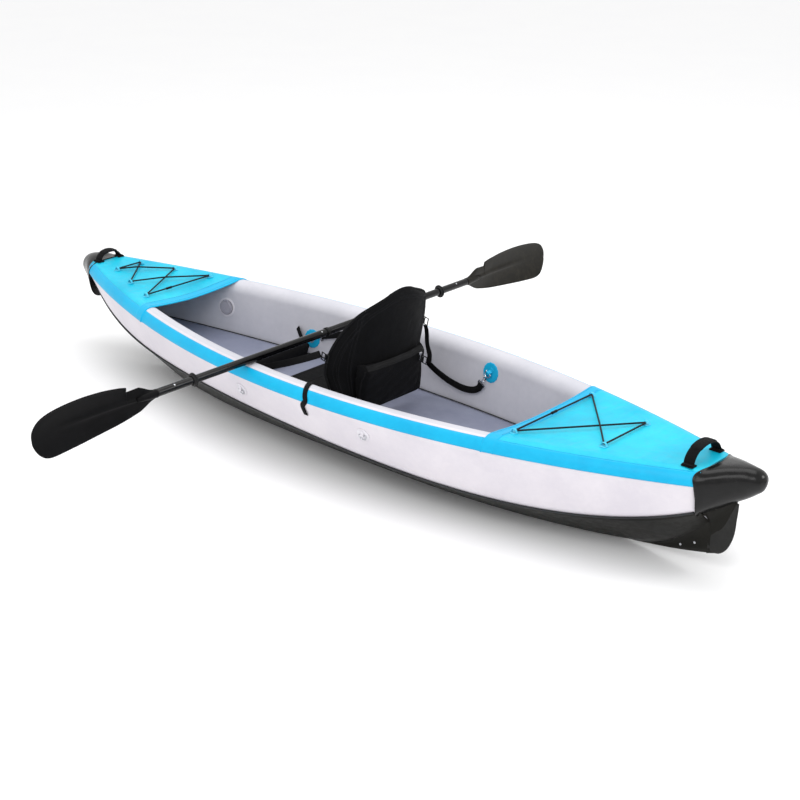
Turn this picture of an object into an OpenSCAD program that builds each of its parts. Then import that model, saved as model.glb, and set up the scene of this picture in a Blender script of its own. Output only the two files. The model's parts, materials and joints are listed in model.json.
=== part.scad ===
// Inflatable drop-stitch kayak with seat, foot rest and paddle. Millimetres.
// +X points to the bow, +Y to port, +Z up. Origin: middle of the flat hull bottom.

/* [Hull] */
// Length over the two end caps
hull_len = 3250; // [3100:10:3400]
// Width over the gunwales
beam = 790; // [760:5:820]
// Height of the side walls above the bottom, amidships
depth = 330; // [315:1:345]
// Thickness of an inflated side wall
wall_t = 95; // [85:1:100]
// Height of the cockpit floor amidships
floor_z = 122; // [115:1:130]

/* [Decks] */
// Aft edge of the bow deck
bow_deck_x = 925; // [880:5:960]
// Forward edge of the stern deck
stern_deck_x = -795; // [-850:5:-760]
// Diameter of the lacing cord
cord_d = 6; // [5:0.5:7]

/* [Seat] */
// Place of the backrest hinge along the hull
seat_x = -70; // [-90:1:-50]
// Widest part of the backrest
back_w = 480; // [440:5:500]
// Height of the backrest along its face
back_h = 478; // [450:5:500]
// Backward lean of the backrest
back_lean = 13; // [5:1:16]

/* [Paddle] */
// Length from blade tip to blade tip
paddle_len = 2580; // [2500:10:2650]
// Diameter of the paddle shaft
shaft_d = 28; // [26:0.5:30]
// Where the shaft lies across the gunwales
paddle_x = 231; // [200:1:260]

/* [Hidden] */

$fn = 48;
half_l = hull_len / 2;
gap = 0.8;             // air between glued neighbours
sheet_t = 2.5;         // coated fabric sheet
bow_rise = 44;         // sheer at the bow
stern_rise = 30;       // sheer at the stern
tip_half = 32;         // gunwale half width at the very ends
wall_lean = 27;        // how much further inboard a wall's foot stands than its top
arc_step = 18;         // degrees between the points round a wall's top
stripe_steps = 3;      // the gunwale stripe covers this many of them
body_end_bow = 1500;   // the chambers end inside the caps
body_end_stern = -1455;

BLUE = [0.16, 0.72, 0.92];
GREY = [0.78, 0.77, 0.80];
DARK = [0.16, 0.16, 0.15];
BLACK = [0.06, 0.06, 0.07];
STEEL = [0.75, 0.76, 0.78];

// ---------------------------------------------------------------- hull lines
function share(x) = abs(x) / half_l;
function ease(u) = 1 - 2 / (exp(2 * u) + 1);
function gun_y(x) = tip_half + (beam / 2 - tip_half) * (1 - pow(share(x), 2));
function gun_z(x) = depth + (x > 0 ? bow_rise : stern_rise) * pow(share(x), 2);
function chine_y(x) = gun_y(x) - 60 * (1 - pow(share(x), 3)) - 5;
function chine_z(x) = 118 + 30 * ease((x + 300) / 500) + 150 * pow(abs(x) / 1500, x > 0 ? 7.5 : 4.8);
function keel_z(x) = x > 950 ? 215 * pow((x - 950) / 550, 2.2)
                   : x < -1150 ? 150 * pow((-1150 - x) / 305, 2) : 0;
function fairing_z(x) = 32 * pow(max(0, -1150 - x) / 220, 1.5);
function flat_y(x) = max(5, 150 * (1 - pow(abs(x) / 1180, 3)));
function bottom_z(x, y) = let (f = flat_y(x))
    abs(y) <= f ? keel_z(x)
                : keel_z(x) + (chine_z(x) - keel_z(x)) * (abs(y) - f) / (chine_y(x) - f);
function thick(x) = min(wall_t, gun_y(x) - 5);
function lean(x) = min(wall_lean * (1 - pow(share(x), 2)), gun_y(x) - thick(x) - 2);
function deck_floor_z(x) = floor_z + 28 * pow(x / 1000, 2);
function arc_z(x) = gun_z(x) - thick(x) / 2;
function inner_y(x, z) =
    gun_y(x) - thick(x) - lean(x) * (arc_z(x) - z) / (arc_z(x) - deck_floor_z(x));
function outer_y(x, z) =
    gun_y(x) - (gun_y(x) - chine_y(x)) * (arc_z(x) - z) / (arc_z(x) - chine_z(x));
function steps(a, b, n) = [for (i = [0:n]) a + (b - a) * i / n];
function mix(a, b, s) = a + (b - a) * s;
function unit(v) = v / norm(v);

// ---------------------------------------------------------------- lofts
// Joins rings of equal length into one closed solid. Each ring runs anticlockwise about the way
// the rings follow each other, and the two end rings are closed as fans. From point turn on, the
// quads are split along their other diagonal.
function ring_sides(m, n, turn) = [for (i = [0:m - 2], j = [0:n - 1], k = [0, 1])
    let (a = i * n + j, b = i * n + (j + 1) % n, c = a + n, d = b + n)
    j < turn ? (k == 0 ? [a, d, b] : [a, c, d]) : (k == 0 ? [a, c, b] : [c, d, b])];
module loft(rings) {
    n = len(rings[0]);
    m = len(rings);
    ends = [for (j = [1:n - 2], k = [0, 1])
        k == 0 ? [0, j, j + 1] : [(m - 1) * n, (m - 1) * n + j + 1, (m - 1) * n + j]];
    polyhedron(points = [for (r = rings) each r], faces = concat(ring_sides(m, n, n), ends));
}

// A thin sheet between an upper and a lower line at each station; its ends are closed as strips.
// Both faces are split along the same diagonals, so that they never cross.
module sheet(upper, lower) {
    p = len(upper[0]);
    n = 2 * p;
    m = len(upper);
    rings = [for (i = [0:m - 1]) concat(upper[i], [for (j = [p - 1:-1:0]) lower[i][j]])];
    ends = [for (s = [0, 1], j = [0:p - 2], k = [0, 1])
        let (o = s * (m - 1) * n, a = o + j, b = o + j + 1, c = o + n - 1 - j, d = o + n - 2 - j)
        s == 0 ? (k == 0 ? [a, b, d] : [a, d, c]) : (k == 0 ? [a, d, b] : [a, c, d])];
    polyhedron(points = [for (r = rings) each r], faces = concat(ring_sides(m, n, p), ends));
}

// A flat band along a path of [x, y, z] points; its width runs along u0 at the start and u1 at the end.
module band(path, u0, u1, w, t) {
    m = len(path) - 1;
    loft([for (i = [0:m])
        let (run = path[min(i + 1, m)] - path[max(i - 1, 0)], u = unit(mix(u0, u1, i / m)),
             v = unit(cross(run, u)) * t / 2, h = unit(cross(v, run)) * w / 2)
        [path[i] - h - v, path[i] + h - v, path[i] + h + v, path[i] - h + v]]);
}

// A round cord along a path; up is any direction that the path never follows.
module cord(path, r, up, n = 6) {
    m = len(path) - 1;
    loft([for (i = [0:m])
        let (run = path[min(i + 1, m)] - path[max(i - 1, 0)], u = unit(cross(run, up)), v = unit(cross(run, u)))
        [for (a = [0:360 / n:359]) path[i] + r * (u * cos(a) + v * sin(a))]]);
}

function bezier(a, b, c, d, n) = [for (s = steps(0, 1, n)) let (r = 1 - s)
    a * r * r * r + b * 3 * s * r * r + c * 3 * s * s * r + d * s * s * s];

module tube(r_out, r_in, h) difference() {
    cylinder(r = r_out, h = h);
    translate([0, 0, -1]) cylinder(r = r_in, h = h + 2);
}

module both_sides() {
    children();
    mirror([0, 1, 0]) children();
}

// Frames on the port wall: local +Z leaves the wall and local +Y runs up along it.
module on_inner(x, z) {
    yaw = atan((inner_y(x + 1, z) - inner_y(x - 1, z)) / 2);
    tilt = atan((inner_y(x, z + 5) - inner_y(x, z - 5)) / 10);
    translate([x, inner_y(x, z), z]) rotate([0, 0, yaw]) rotate([90 - tilt, 0, 0]) children();
}
module on_outer(x, z) {
    yaw = atan((outer_y(x + 1, z) - outer_y(x - 1, z)) / 2);
    tilt = atan((outer_y(x, z + 5) - outer_y(x, z - 5)) / 10);
    translate([x, outer_y(x, z), z]) rotate([0, 0, yaw + 180]) rotate([90 + tilt, 0, 0]) children();
}

// ---------------------------------------------------------------- chambers
// Every skin shares the chambers' stations, so that the gaps between them stay even.
chamber_x = steps(body_end_stern, body_end_bow, 40);
function stations(x0, x1) = concat([x0], [for (x = chamber_x) if (x > x0 + 4 && x < x1 - 4) x], [x1]);
lift = sheet_t + 2 * gap + 2;   // the chambers' height over the bottom skin

function wall_ring(x) =
    let (w = gun_y(x), t = thick(x), r = t / 2, zf = deck_floor_z(x), yi = inner_y(x, zf),
         ym = (yi + chine_y(x)) / 2, zb = bottom_z(x, yi) + lift)
    concat(
        [[x, ym, bottom_z(x, ym) + lift], [x, chine_y(x) - 1, chine_z(x) + lift]],
        [for (a = [0:arc_step:180]) [x, w - r + r * cos(a), arc_z(x) + r * sin(a)]],
        [[x, yi, max(zf, zb + 8)], [x, yi, zb]]);

module port_wall() loft([for (x = chamber_x) wall_ring(x)]);
module side_chamber_port() color(GREY) difference() {
    port_wall();
    on_inner(side_valve_x, side_valve_z) valve_pocket();
}
module side_chamber_starboard() mirror([0, 1, 0]) side_chamber_port();

floor_end = 1270;       // the floor chamber stops here at both ends
function floor_ring(x) =
    let (zf = deck_floor_z(x), h = inner_y(x, zf) - gap, f = min(flat_y(x), h - 6), m = (f + h) / 2)
    concat([[x, h, zf - 5], [x, h - 5, zf], [x, 5 - h, zf], [x, -h, zf - 5]],
           [for (y = [-h, -m, -f, f, m, h]) [x, y, bottom_z(x, y) + lift + 1]]);
module floor_chamber() color(GREY) difference() {
    loft([for (x = chamber_x) if (abs(x) < floor_end) floor_ring(x)]);
    on_floor(floor_valve_x) valve_pocket();
}

module hull_skin() {
    function line(x, up) = let (c = chine_y(x), f = flat_y(x))
        [for (k = [3, 2, 1, 0, -1, -2, -3]) let (y = k == 0 ? 0 : sign(k) * mix(f, c, (abs(k) - 1) / 2))
            [x, y, bottom_z(x, y) + up]];
    xs = stations(body_end_stern + 6, body_end_bow - 6);
    color(DARK) sheet([for (x = xs) line(x, sheet_t)], [for (x = xs) line(x, 0)]);
}

// The first n steps round the outside of a wall's top, grown outwards by g.
function top_arc(x, n, g) = let (r = thick(x) / 2)
    [for (q = steps(0, n * arc_step, n)) [x, gun_y(x) - r + (r + g) * cos(q), arc_z(x) + (r + g) * sin(q)]];

module gunwale_stripes() {
    xs = stations(stern_deck_x + gap, bow_deck_x - gap);
    color(BLUE) both_sides()
        sheet([for (x = xs) top_arc(x, stripe_steps, gap + 1.5)],
              [for (x = xs) top_arc(x, stripe_steps, gap)]);
}

// ---------------------------------------------------------------- decks
deck_sag = 16;
function deck_end(x) = x > 0 ? body_end_bow - gap : body_end_stern + gap;
function deck_edge(x) = x > 0 ? bow_deck_x : stern_deck_x;
function sag(x) = deck_sag * pow((x - deck_end(x)) / (deck_edge(x) - deck_end(x)), 2);
function deck_line(x, g) =
    let (side = top_arc(x, 90 / arc_step, g), e = gun_y(x) - thick(x) / 2)
    concat(side, [for (k = [0.5, 0, -0.5]) [x, e * k, gun_z(x) + g - sag(x) * (1 - k * k)]],
           [for (i = [len(side) - 1:-1:0]) [x, -side[i][1], side[i][2]]]);
module deck(x0, x1) {
    xs = stations(x0, x1);
    color(BLUE) sheet([for (x = xs) deck_line(x, gap + sheet_t)], [for (x = xs) deck_line(x, gap)]);
}
module bow_deck() deck(bow_deck_x, deck_end(1));
module stern_deck() deck(deck_end(-1), stern_deck_x);

// Height of a deck's top face.
function deck_top(x, y) = let (k = min(1, abs(y) / (gun_y(x) - thick(x) / 2)))
    gun_z(x) + gap + sheet_t - sag(x) * (1 - k * k);

// ---------------------------------------------------------------- end caps
// Each row: share of the cap's length, half width, bottom and top.
stern_cap_rows = [[0, 107, 206, 361], [0.22, 90, 224, 369], [0.45, 67, 250, 375], [0.68, 47, 275, 377],
                  [0.85, 38, 297, 373], [0.95, 26, 312, 362], [1, 8, 330, 347]];
bow_cap_rows = [[0, 90, 213, 374], [0.22, 77, 226, 378], [0.45, 60, 238, 378], [0.68, 45, 251, 372],
                [0.85, 36, 265, 362], [0.95, 25, 280, 348], [1, 8, 305, 328]];
function cap_ring(x, h, zb, zt) =
    let (zm = zt - 0.42 * (zt - zb))
    [for (a = [0:20:340]) [x, h * cos(a) * (a > 180 ? 1 + 0.3 * sin(a) : 1),
                           zm + (a > 180 ? zm - zb : zt - zm) * sin(a)]];
module cap(x0, rows) {
    d = sign(x0);
    n = len(rows);
    color(BLACK) loft([for (i = [0:n - 1])
        let (r = rows[d > 0 ? i : n - 1 - i]) cap_ring(x0 + d * (half_l - abs(x0)) * r[0], r[1], r[2], r[3])]);
}
module bow_cap() cap(body_end_bow + gap, bow_cap_rows);
module stern_cap() cap(body_end_stern - gap, stern_cap_rows);

// ---------------------------------------------------------------- keel fairing and fin
fin_t = 7;
fairing_half = 5;
fin_x = -1441;          // the fin's front edge
fairing_top_gap = 1.2;
screw_x = [-1352, -1402];
module keel_fairing() color(DARK) {
    difference() {
        // the upright web under the rising keel
        loft([for (x = steps(fin_x, -1240, 8))
            [[x, fairing_half, keel_z(x) - fairing_top_gap], [x, -fairing_half, keel_z(x) - fairing_top_gap],
             [x, 1.5 - fairing_half, fairing_z(x)], [x, fairing_half - 1.5, fairing_z(x)]]]);
        at_screws() cylinder(r = 1.8, h = 30, center = true);
    }
    // the wedge that closes the hull's end under the cap
    loft([for (s = steps(1, 0, 4)) let (x = mix(body_end_stern - gap, -1530, s))
        [[x, mix(70, 8, s), mix(203, 247, s)], [x, -mix(70, 8, s), mix(203, 247, s)],
         [x, -mix(5, 3, s), mix(152, 238, s)], [x, mix(5, 3, s), mix(152, 238, s)]]]);
}
module at_screws() for (x = screw_x)
    translate([x, 0, (keel_z(x) + fairing_z(x)) / 2]) rotate([90, 0, 0]) children();
module fairing_screws() color(STEEL) at_screws() {
    cylinder(r = 1.7, h = 2 * fairing_half + 1, center = true);
    for (m = [0, 1]) mirror([0, 0, m]) translate([0, 0, fairing_half + 0.3]) cylinder(r = 4, h = 1.4);
}
fin_outline = concat(
    [[-1442, 128], [-1442, 46]],
    [for (s = steps(0, 1, 8)) [-1471 - 66 * sin(90 * s), 56 + 128 * (1 - cos(90 * s))]],
    [[-1541, 215], [-1540, 246]]);
module skeg_fin() color(DARK)
    translate([0, fin_t / 2, 0]) rotate([90, 0, 0]) linear_extrude(fin_t) polygon(fin_outline);

// ---------------------------------------------------------------- deck lacing
bow_eyes = [[1340, 60], [1190, 114], [1031, 163]];
stern_eyes = [[-842, 204], [-1123, 114]];
loop_up = 3.2;         // underside of a loop's base over the deck
loop_base = 1;
cord_up = loop_up + loop_base + 0.4 + cord_d / 2;
loop_half = 8;
loop_t = 1.2;
// A small sewn loop that holds the cord: a round base with a staple open to port and starboard.
module deck_loop(p) translate([p[0], p[1], deck_top(p[0], p[1]) + loop_up]) {
    cylinder(r = 13, h = loop_base);
    difference() {
        translate([-loop_half - loop_t, -3, 0.2])
            cube([2 * (loop_half + loop_t), 6, cord_up + cord_d / 2 - loop_up + 0.5 + loop_t]);
        translate([-loop_half, -4, loop_base])
            cube([2 * loop_half, 8, cord_up + cord_d / 2 - loop_up - loop_base + 0.7]);
    }
}
module deck_loops() color(BLUE) both_sides() for (p = concat(bow_eyes, stern_eyes)) deck_loop(p);

// A cord's point at a lacing loop; side is 1 to port and -1 to starboard.
function laced(p, side) = [p[0], p[1] * side, deck_top(p[0], p[1]) + cord_up];
// Where the diagonal from loop p on one side to loop q on the other crosses its partner, lifted by over.
function crossing(p, q, side, over) =
    mix(laced(p, side), laced(q, -side), p[1] / (p[1] + q[1])) + [0, 0, over];
// A cord turns back at a loop through a small bend.
bend = 12;
function bent(a, p, b) = let (u = p + bend * unit(a - p), v = p + bend * unit(b - p))
    [for (s = steps(0, 1, 4)) mix(mix(u, p, s), mix(p, v, s), s)];
// One cord from splice to splice. A stop is a point, and turns says whether the cord turns back there.
module lacing(splice, stops, turns) {
    all = concat([splice], stops, [splice]);
    path = [for (i = [1:len(stops)]) each (turns[i - 1] ? bent(all[i - 1], all[i], all[i + 1]) : [all[i]])];
    last = path[len(path) - 1];
    cord(concat([splice + 0.5 * unit(path[0] - splice)], path, [splice + 0.5 * unit(last - splice)]),
         cord_d / 2, [0, 0, 1]);
}
over = cord_d + 0.8;
module bow_bungee() color(BLACK) let (a = bow_eyes[0], b = bow_eyes[1], c = bow_eyes[2])
    lacing(mix(laced(c, 1), laced(c, -1), 0.35),
           [laced(c, 1), crossing(c, b, 1, 0), laced(b, -1), crossing(b, a, -1, over), laced(a, 1),
            laced(a, -1), crossing(a, b, -1, 0), laced(b, 1), crossing(b, c, 1, over), laced(c, -1)],
           [true, false, true, false, true, true, false, true, false, true]);
module stern_bungee() color(BLACK) let (a = stern_eyes[0], b = stern_eyes[1])
    lacing(mix(laced(a, 1), laced(a, -1), 0.5),
           [laced(a, 1), crossing(a, b, 1, 0), laced(b, -1), laced(b, 1), crossing(b, a, 1, over), laced(a, -1)],
           [true, false, true, true, false, true]);

// ---------------------------------------------------------------- carry handles
strap_t = 2.4;
handle_x = [1474, -1405];
handle_w = 38;
bow_handle_rise = 34;
stern_handle_rise = 52;
tab_t = 2.5;
tab_up = 1.2;
function handle_half(x) = gun_y(x) - thick(x) / 2;
module handle(x, rise) {
    z = gun_z(x) + gap + sheet_t + tab_up + tab_t + 0.5 + strap_t / 2;
    h = handle_half(x);
    top = z + rise * 1.25;
    color(BLACK) band(concat([[x, h + 10, z]], bezier([x, h, z], [x, h * 0.75, top], [x, -h * 0.75, top],
                                                     [x, -h, z], 12), [[x, -h - 10, z]]),
                      [1, 0, 0], [1, 0, 0], handle_w, strap_t);
}
module bow_handle() handle(handle_x[0], bow_handle_rise);
module stern_handle() handle(handle_x[1], stern_handle_rise);
module handle_tabs() color(BLACK) for (x = handle_x) both_sides()
    translate([x - handle_w / 2 - 2, handle_half(x) - 13, gun_z(x) + gap + sheet_t + tab_up])
        cube([handle_w + 4, 26, tab_t]);

// ---------------------------------------------------------------- ring fittings
wire = 2;              // radius of the ring wire
ring_r = 13;           // the ring's curved part
keeper_in = wire + 0.5;
inner_ring_x = [-345, 530];
inner_ring_z = [266, 186];
inner_turn = [28, -112]; // which way each inner ring is pulled
inner_up = 14;
outer_ring_x = [265, -330];
outer_ring_z = 230;
outer_up = 7;
patch_up = 1.3;

// A ring with one straight side, hanging from that side along local -Y.
module d_ring(up) translate([0, 0, up]) {
    rotate([0, 90, 0]) cylinder(r = wire, h = 2 * ring_r, center = true);
    for (s = [1, -1]) {
        translate([s * ring_r, 0, 0]) sphere(wire);
        translate([s * ring_r, 0, 0]) rotate([90, 0, 0]) cylinder(r = wire, h = 5);
    }
    translate([0, -5, 0]) rotate([0, 0, 180]) rotate_extrude(angle = 180) translate([ring_r, 0]) circle(wire);
}
// The welded patch with the sleeve that the ring's straight side turns in.
module ring_patch(r, up, sleeve) difference() {
    union() {
        translate([0, 0, patch_up]) cylinder(r = r, h = 2);
        translate([-sleeve / 2, -4, patch_up]) cube([sleeve, 8, up - patch_up]);
        translate([0, 0, up]) rotate([0, 90, 0]) cylinder(r = keeper_in + 1.6, h = sleeve, center = true);
    }
    translate([0, 0, up]) rotate([0, 90, 0]) cylinder(r = keeper_in, h = sleeve + 20, center = true);
}
module at_inner_rings() both_sides() for (i = [0, 1])
    on_inner(inner_ring_x[i], inner_ring_z[i]) rotate([0, 0, inner_turn[i]]) children();
module inner_ring_patches() color(BLUE) at_inner_rings() ring_patch(37, inner_up, 15);
module inner_rings() color(STEEL) at_inner_rings() d_ring(inner_up);
module outer_ring_patches() color(GREY) both_sides() for (x = outer_ring_x)
    on_outer(x, outer_ring_z) ring_patch(25, outer_up, 14);
module outer_ring(i) color(STEEL) on_outer(outer_ring_x[i], outer_ring_z) d_ring(outer_up);
module outer_ring_port_fore() outer_ring(0);
module outer_ring_port_aft() outer_ring(1);
module outer_ring_starboard_fore() mirror([0, 1, 0]) outer_ring(0);
module outer_ring_starboard_aft() mirror([0, 1, 0]) outer_ring(1);

// ---------------------------------------------------------------- snap hooks
hook_r = 8;            // bend radius of the hook
hook_wire = 1.8;
hook_run = 16;         // straight length between its two bends
hook_top = ring_r + 5 + 3.7; // the upper bend's centre below the ring's straight side
gate_r = 1.5;
eye_half = 15;
eye_drop = hook_top + hook_run + hook_r + 5;
hook_t = 3.6;
module slot_shape(r, h) {
    for (y = [-hook_top, -hook_top - hook_run])
        translate([0, y, -h / 2]) cylinder(r = r, h = h);
    translate([-r, -hook_top - hook_run, -h / 2]) cube([2 * r, hook_run, h]);
}
// The hook is cut from plate and stands across the ring's wire; its open side faces the cockpit.
module snap_hook() translate([0, 0, inner_up]) rotate([0, 90, 0]) {
    difference() {
        slot_shape(hook_r + hook_wire, hook_t);
        slot_shape(hook_r - hook_wire, hook_t + 2);
        translate([-hook_r - 4, -hook_top - hook_run, -hook_t]) cube([6, hook_run, 2 * hook_t]);
    }
    translate([-3, -eye_drop - 1, -hook_t / 2]) cube([6, 6.5, hook_t]);
    difference() {
        translate([-1.6, -eye_drop - 11, -eye_half - 3]) cube([3.2, 12, 2 * eye_half + 6]);
        translate([-3, -eye_drop - 8, -eye_half + 1]) cube([6, 6, 2 * eye_half - 2]);
    }
}
module snap_hooks() color(STEEL) at_inner_rings() snap_hook();
// The sprung gate that closes the hook's open side; it turns inwards about its lower end.
gate_gap = 1.2;
module gate() color(STEEL) translate([0, -hook_top - hook_run + gate_gap, inner_up + hook_r])
    rotate([-90, 0, 0]) cylinder(r = gate_r, h = hook_run - 2 * gate_gap);
module gate_at(i) on_inner(inner_ring_x[i], inner_ring_z[i]) rotate([0, 0, inner_turn[i]]) gate();
module gate_port_rear() gate_at(0);
module gate_port_front() gate_at(1);
module gate_starboard_rear() mirror([0, 1, 0]) gate_at(0);
module gate_starboard_front() mirror([0, 1, 0]) gate_at(1);

// ---------------------------------------------------------------- valves
side_valve_x = 945;
side_valve_z = 238;
floor_valve_x = 1040;
valve_in = 42;         // how far a valve reaches into its chamber
valve_r = 17;
flange_r = 29;
flange_t = 3;
seat_z = -34;          // underside of the sealing seat
stem_travel = 5;
module valve_pocket() translate([0, 0, -valve_in - 14]) cylinder(r = valve_r + 1, h = valve_in + 40);
module on_floor(x) translate([x, 0, deck_floor_z(x)]) rotate([0, -atan(56 * x / 1e6), 0]) children();
module at_valves() {
    both_sides() on_inner(side_valve_x, side_valve_z) children();
    on_floor(floor_valve_x) children();
}
throat_r = valve_r - 3;
seat_r = 8;
web_z = -24;
module valve_body() {
    difference() {
        union() {
            translate([0, 0, patch_up]) cylinder(r = flange_r, h = flange_t);
            translate([0, 0, -valve_in]) cylinder(r = valve_r, h = valve_in + patch_up + 1);
            for (x = [-8, 5]) translate([x, flange_r - 6, patch_up]) cube([3, 8, 7.5]);
        }
        translate([0, 0, web_z + 3]) cylinder(r = throat_r, h = 60);
        translate([0, 0, -valve_in - 1]) cylinder(r = throat_r, h = valve_in + 1 + seat_z);
        // the web between seat and throat: a guide hole for the stem and six air holes
        translate([0, 0, seat_z - 1]) cylinder(r = seat_r, h = web_z - seat_z + 1);
        translate([0, 0, web_z - 1]) cylinder(r = 2.6, h = 5);
        for (a = [0:60:300]) rotate([0, 0, a]) translate([5.3, 0, web_z - 1]) cylinder(r = 1.4, h = 5);
        translate([-20, flange_r - 2, patch_up + 5.5]) rotate([0, 90, 0]) cylinder(r = 1.3, h = 40);
    }
}
module valve_bodies() color(GREY) at_valves() valve_body();
module valve_stem() color(GREY) {
    translate([0, 0, seat_z - 3.2]) cylinder(r = 10.5, h = 3);
    translate([0, 0, seat_z - 1]) cylinder(r = 2.5, h = -seat_z - 8);
    translate([0, 0, -10]) cylinder(r = 6, h = 3);
}
module port_valve_stem() on_inner(side_valve_x, side_valve_z) valve_stem();
module starboard_valve_stem() mirror([0, 1, 0]) port_valve_stem();
module floor_valve_stem() on_floor(floor_valve_x) valve_stem();
module valve_springs() color(STEEL) at_valves()
    cord([for (t = [0:30:1260]) [4.2 * cos(t), 4.2 * sin(t), -19.8 + 8.6 * t / 1260]], 0.6, [0, 0, 1], 5);
module valve_cap() color(GREY) {
    translate([0, 0, patch_up + flange_t + 0.6]) cylinder(r = flange_r - 6.5, h = 4);
    translate([0, 0, patch_up + 1.5]) cylinder(r = valve_r - 3.6, h = 4);
    translate([-4.2, 12, patch_up + flange_t + 0.6]) cube([8.4, flange_r - 14, 2]);
    translate([-4.2, flange_r - 2, patch_up + 5.5]) rotate([0, 90, 0]) cylinder(r = 2.1, h = 8.4);
    translate([-8, flange_r - 2, patch_up + 5.5]) rotate([0, 90, 0]) cylinder(r = 1.2, h = 16);
}
module port_valve_cap() on_inner(side_valve_x, side_valve_z) valve_cap();
module starboard_valve_cap() mirror([0, 1, 0]) port_valve_cap();
module floor_valve_cap() on_floor(floor_valve_x) valve_cap();

// ---------------------------------------------------------------- foot rest
foot_x = 528;
foot_z = 165;
foot_r = 32;
foot_half = 205;
foot_bore = 6;
module footrest_roll() color(BLACK) translate([foot_x, foot_half, foot_z]) rotate([90, 0, 0])
    tube(foot_r, foot_bore, 2 * foot_half);
// The webbing that the roll turns on, and its two tails that run forward up the walls.
module footrest_webbing() color(BLACK) {
    translate([foot_x, foot_half + 8, foot_z]) rotate([90, 0, 0])
        cylinder(r = foot_bore - 0.6, h = 2 * foot_half + 16);
    both_sides() band([[foot_x - 8, foot_half + 9, foot_z - 4], [foot_x + 25, foot_half + 11, foot_z + 12],
                       [foot_x + 70, foot_half + 27, foot_z + 55]], [0, 0, 1], [-0.5, 0, 1], 25, strap_t);
}

// ---------------------------------------------------------------- seat
hinge_z = 150;
pad_t = 34;
wing_in = 78;          // how far the wings reach forward
wide_at = 0.42;        // share of the height where the back is widest
foot_w = 395;          // width along the hinge
cushion_len = 370;
cushion_half = 205;
cushion_t = 38;
cushion_back = 75;      // from the hinge to the cushion
corner = 55;
function back_half(v) = v < wide_at
    ? mix(foot_w / 2, back_w / 2, sin(90 * v / wide_at))
    : back_w / 2 * sqrt(1 - pow((v - wide_at) / (1.02 - wide_at), 1.8));
function wing(y, v) = wing_in * pow(abs(y) / (back_w / 2), 2.4) * min(1, v / 0.35);
module in_back() translate([seat_x, 0, hinge_z]) rotate([0, -back_lean, 0]) children();
// A curved slab of the back between two heights; its rear face may be flat.
module back_slab(v0, v1, half, front, rear, flat_rear, n) {
    side = steps(1, -1, 8);
    vs = steps(v0, v1, n);
    sheet([for (v = vs) [for (k = side)
              [(flat_rear ? 0 : wing(half(v) * k, v)) + rear, half(v) * k, v * back_h]]],
          [for (v = vs) [for (k = side) [wing(half(v) * k, v) + front, half(v) * k, v * back_h]]]);
}
module backrest_pad() color(BLACK) in_back()
    back_slab(0.01, 1, function (s) back_half(s), pad_t / 2, -pad_t / 2, false, 12);
module backrest_binding() color(BLACK) in_back()
    both_sides() cord([for (v = steps(0.03, 0.97, 16)) let (q = beside_back(v, binding_out))
        [wing(q[0], v), q[0], q[1]]], binding_r, [1, 0, 0]);
// A point outside the back's outline, square to it: distance across and height.
function beside_back(v, out) = let (e = 0.01, run = unit([back_half(v + e) - back_half(v - e), 2 * e * back_h]))
    [back_half(v) + out * run[1], v * back_h - out * run[0]];
binding_out = 8;
binding_r = 4;
pocket_top = 0.46;
pocket_half = 165;
pocket_gap = 4;
pocket_rear = -pad_t / 2 - 26;
module backrest_pocket() color(BLACK) in_back()
    back_slab(0.06, pocket_top, function (s) pocket_half, -pad_t / 2 - pocket_gap, pocket_rear, true, 3);
zip_z = 0.43;
module zip_slider() color(STEEL) in_back() translate([pocket_rear - 1.5, -110, zip_z * back_h]) {
    translate([-2.5, -7, -4]) cube([3, 14, 8]);
    translate([-3.6, -2, -26]) cube([1.5, 4, 24]);
}
buckle_v = [0.2, 0.5];
buckle_gap = 15.5;
module at_buckles() in_back() both_sides() for (v = buckle_v)
    translate([wing(back_half(v), v), back_half(v) + buckle_gap, v * back_h]) children();
module seat_buckles() color(STEEL) at_buckles() translate([0, 4, 0]) rotate([90, 0, 0]) difference() {
    translate([-18, -15, 0]) cube([36, 30, 3.5]);
    for (x = [-14, 2]) translate([x, -12.5, -1]) cube([12, 25, 6]);
}
module seat_cushion() color(BLACK) {
    x0 = seat_x + cushion_back;
    translate([x0, 0, deck_floor_z(x0) + 4.5]) hull()
        for (x = [corner, cushion_len - corner], y = [-1, 1])
            translate([x, y * (cushion_half - corner), 0]) {
                cylinder(r = corner - 8, h = cushion_t);
                translate([0, 0, 8]) cylinder(r = corner, h = cushion_t - 16);
            }
}

// ---------------------------------------------------------------- seat straps
belt_w = 25;
// A point in an inner ring's frame, on the port side.
function wall_point(x, z, turn, p) =
    let (yaw = atan((inner_y(x + 1, z) - inner_y(x - 1, z)) / 2),
         tilt = atan((inner_y(x, z + 5) - inner_y(x, z - 5)) / 10),
         a = p[0] * cos(turn) - p[1] * sin(turn), b = p[0] * sin(turn) + p[1] * cos(turn),
         v = b * cos(90 - tilt) - p[2] * sin(90 - tilt), w = b * sin(90 - tilt) + p[2] * cos(90 - tilt))
    [x + a * cos(yaw) - v * sin(yaw), inner_y(x, z) + a * sin(yaw) + v * cos(yaw), z + w];
function back_point(p) = [seat_x + p[0] * cos(back_lean) - p[2] * sin(back_lean), p[1],
                          hinge_z + p[0] * sin(back_lean) + p[2] * cos(back_lean)];
belt_gap = 4;          // clear of the eye and of the buckle
buckle_reach = 26;
function belt_start(i, d) =
    wall_point(inner_ring_x[i], inner_ring_z[i], inner_turn[i], [0, -eye_drop - 11 - belt_gap - d, inner_up]);
function belt_end(v, ahead) =
    back_point([wing(back_half(v), v) + ahead, back_half(v) + buckle_gap, v * back_h]);
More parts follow.
